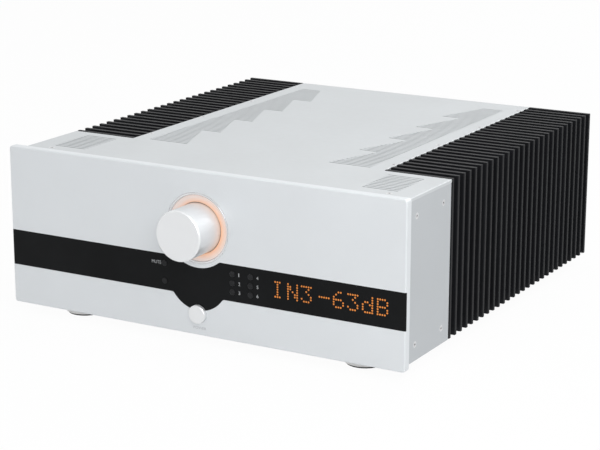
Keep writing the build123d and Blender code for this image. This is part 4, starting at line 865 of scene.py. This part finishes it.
@dataclass
class Studio:
    """Camera, lamps, pale floor and white surround."""

    eye: Point = (0.91403, -1.62668, 0.56587)
    look: Point = (-0.00421, -0.022, 0.07168)
    roll: float = 0.06
    lens: float = 111.87
    lamps: tuple[tuple[str, Point, float, float], ...] = (
        ("key", (1.02, -1.15, 0.97), 1.0, 16.2),
        ("fill", (-2.2, -1.2, 1.6), 2.0, 1.5),
        ("top", (0.3, 0.4, 2.6), 2.2, 24.0),
        ("rear", (0.6, 2.6, 1.4), 2.0, 22.0),
    )
    lamp_aim: Point = (0.0, 0.0, 0.08)
    sensor: float = 36.0
    far_clip: float = 50.0
    floor_half: float = 6.0
    floor_white: float = 0.96
    floor_grey: Colour = (0.82, 0.82, 0.82)
    soft_light: Colour = (0.97, 0.985, 1.0)
    soft_strength: float = 0.42

    def camera(self) -> None:
        """Places the camera."""
        data = bpy.data.cameras.new("camera")
        data.lens = self.lens
        data.sensor_width = self.sensor
        data.clip_end = self.far_clip
        camera = bpy.data.objects.new("camera", data)
        bpy.context.scene.collection.objects.link(camera)
        aim = Vector(self.look) - Vector(self.eye)
        turn = aim.to_track_quat("-Z", "Y").to_matrix().to_4x4()
        roll = Matrix.Rotation(math.radians(self.roll), 4, "Z")
        camera.matrix_world = Matrix.Translation(self.eye) @ turn @ roll
        bpy.context.scene.camera = camera

    def light(self) -> None:
        """Hangs the soft lamps."""
        for name, at, size, power in self.lamps:
            data = bpy.data.lights.new(name, "AREA")
            data.size = size
            data.energy = power
            lamp = bpy.data.objects.new(name, data)
            bpy.context.scene.collection.objects.link(lamp)
            lamp.matrix_world = facing(Vector(at) - Vector(self.lamp_aim), Vector(at))

    @staticmethod
    def seen_white(graph: Graph) -> bpy.types.NodeSocket:
        """Share of white for rays that come from the eye, a reflection or glass."""
        path = graph.add("LightPath")
        plain = graph.math("MAXIMUM", path.outputs["Is Camera Ray"], path.outputs["Is Glossy Ray"])
        return graph.math("MAXIMUM", plain, path.outputs["Is Transmission Ray"])

    def world(self) -> None:
        """Makes the surround: soft grey light, white where it is seen."""
        world = bpy.data.worlds.new("surround")
        world.use_nodes = True
        graph = Graph(world.node_tree)
        soft = graph.add("Background", {"Color": self.soft_light, "Strength": self.soft_strength})
        white = graph.add("Background", {"Color": (1.0, 1.0, 1.0), "Strength": 1.0})
        mix = graph.add("MixShader", {0: self.seen_white(graph), 1: soft.outputs[0], 2: white.outputs[0]})
        out = graph.add("OutputWorld")
        graph.feed(out.inputs[0], mix.outputs[0])
        bpy.context.scene.world = world

    def floor(self) -> None:
        """Lays the pale floor, which keeps a soft shadow."""
        mesh = bpy.data.meshes.new("floor")
        half = self.floor_half
        mesh.from_pydata([(-half, -half, 0), (half, -half, 0), (half, half, 0), (-half, half, 0)], [],
                         [(0, 1, 2, 3)])
        floor = bpy.data.objects.new("floor", mesh)
        bpy.context.scene.collection.objects.link(floor)
        material = bpy.data.materials.new("floor_paper")
        material.use_nodes = True
        graph = Graph(material.node_tree)
        matt = graph.add("BsdfDiffuse", {"Color": self.floor_grey})
        white = graph.add("Emission", {"Color": (1.0, 1.0, 1.0), "Strength": 1.0})
        share = graph.math("MULTIPLY", self.seen_white(graph), self.floor_white)
        mix = graph.add("MixShader", {0: share, 1: matt.outputs[0], 2: white.outputs[0]})
        out = graph.add("OutputMaterial")
        graph.feed(out.inputs[0], mix.outputs[0])
        mesh.materials.append(material)

    def build(self) -> None:
        """Sets the studio up."""
        bpy.context.scene.view_settings.view_transform = "Standard"
        self.camera()
        self.light()
        self.world()
        self.floor()


def main() -> None:
    """Builds the amplifier's looks in order."""
    logging.basicConfig(level=logging.INFO, format="%(name)s: %(message)s")
    Studio().build()
    shop = Workshop()
    shop.dress_frame()
    for assembly in (Fascia(shop), Interior(shop), RearFittings(shop)):
        assembly.build()
        log.info("%s built", type(assembly).__name__)


if __name__ == "__main__":
    main()
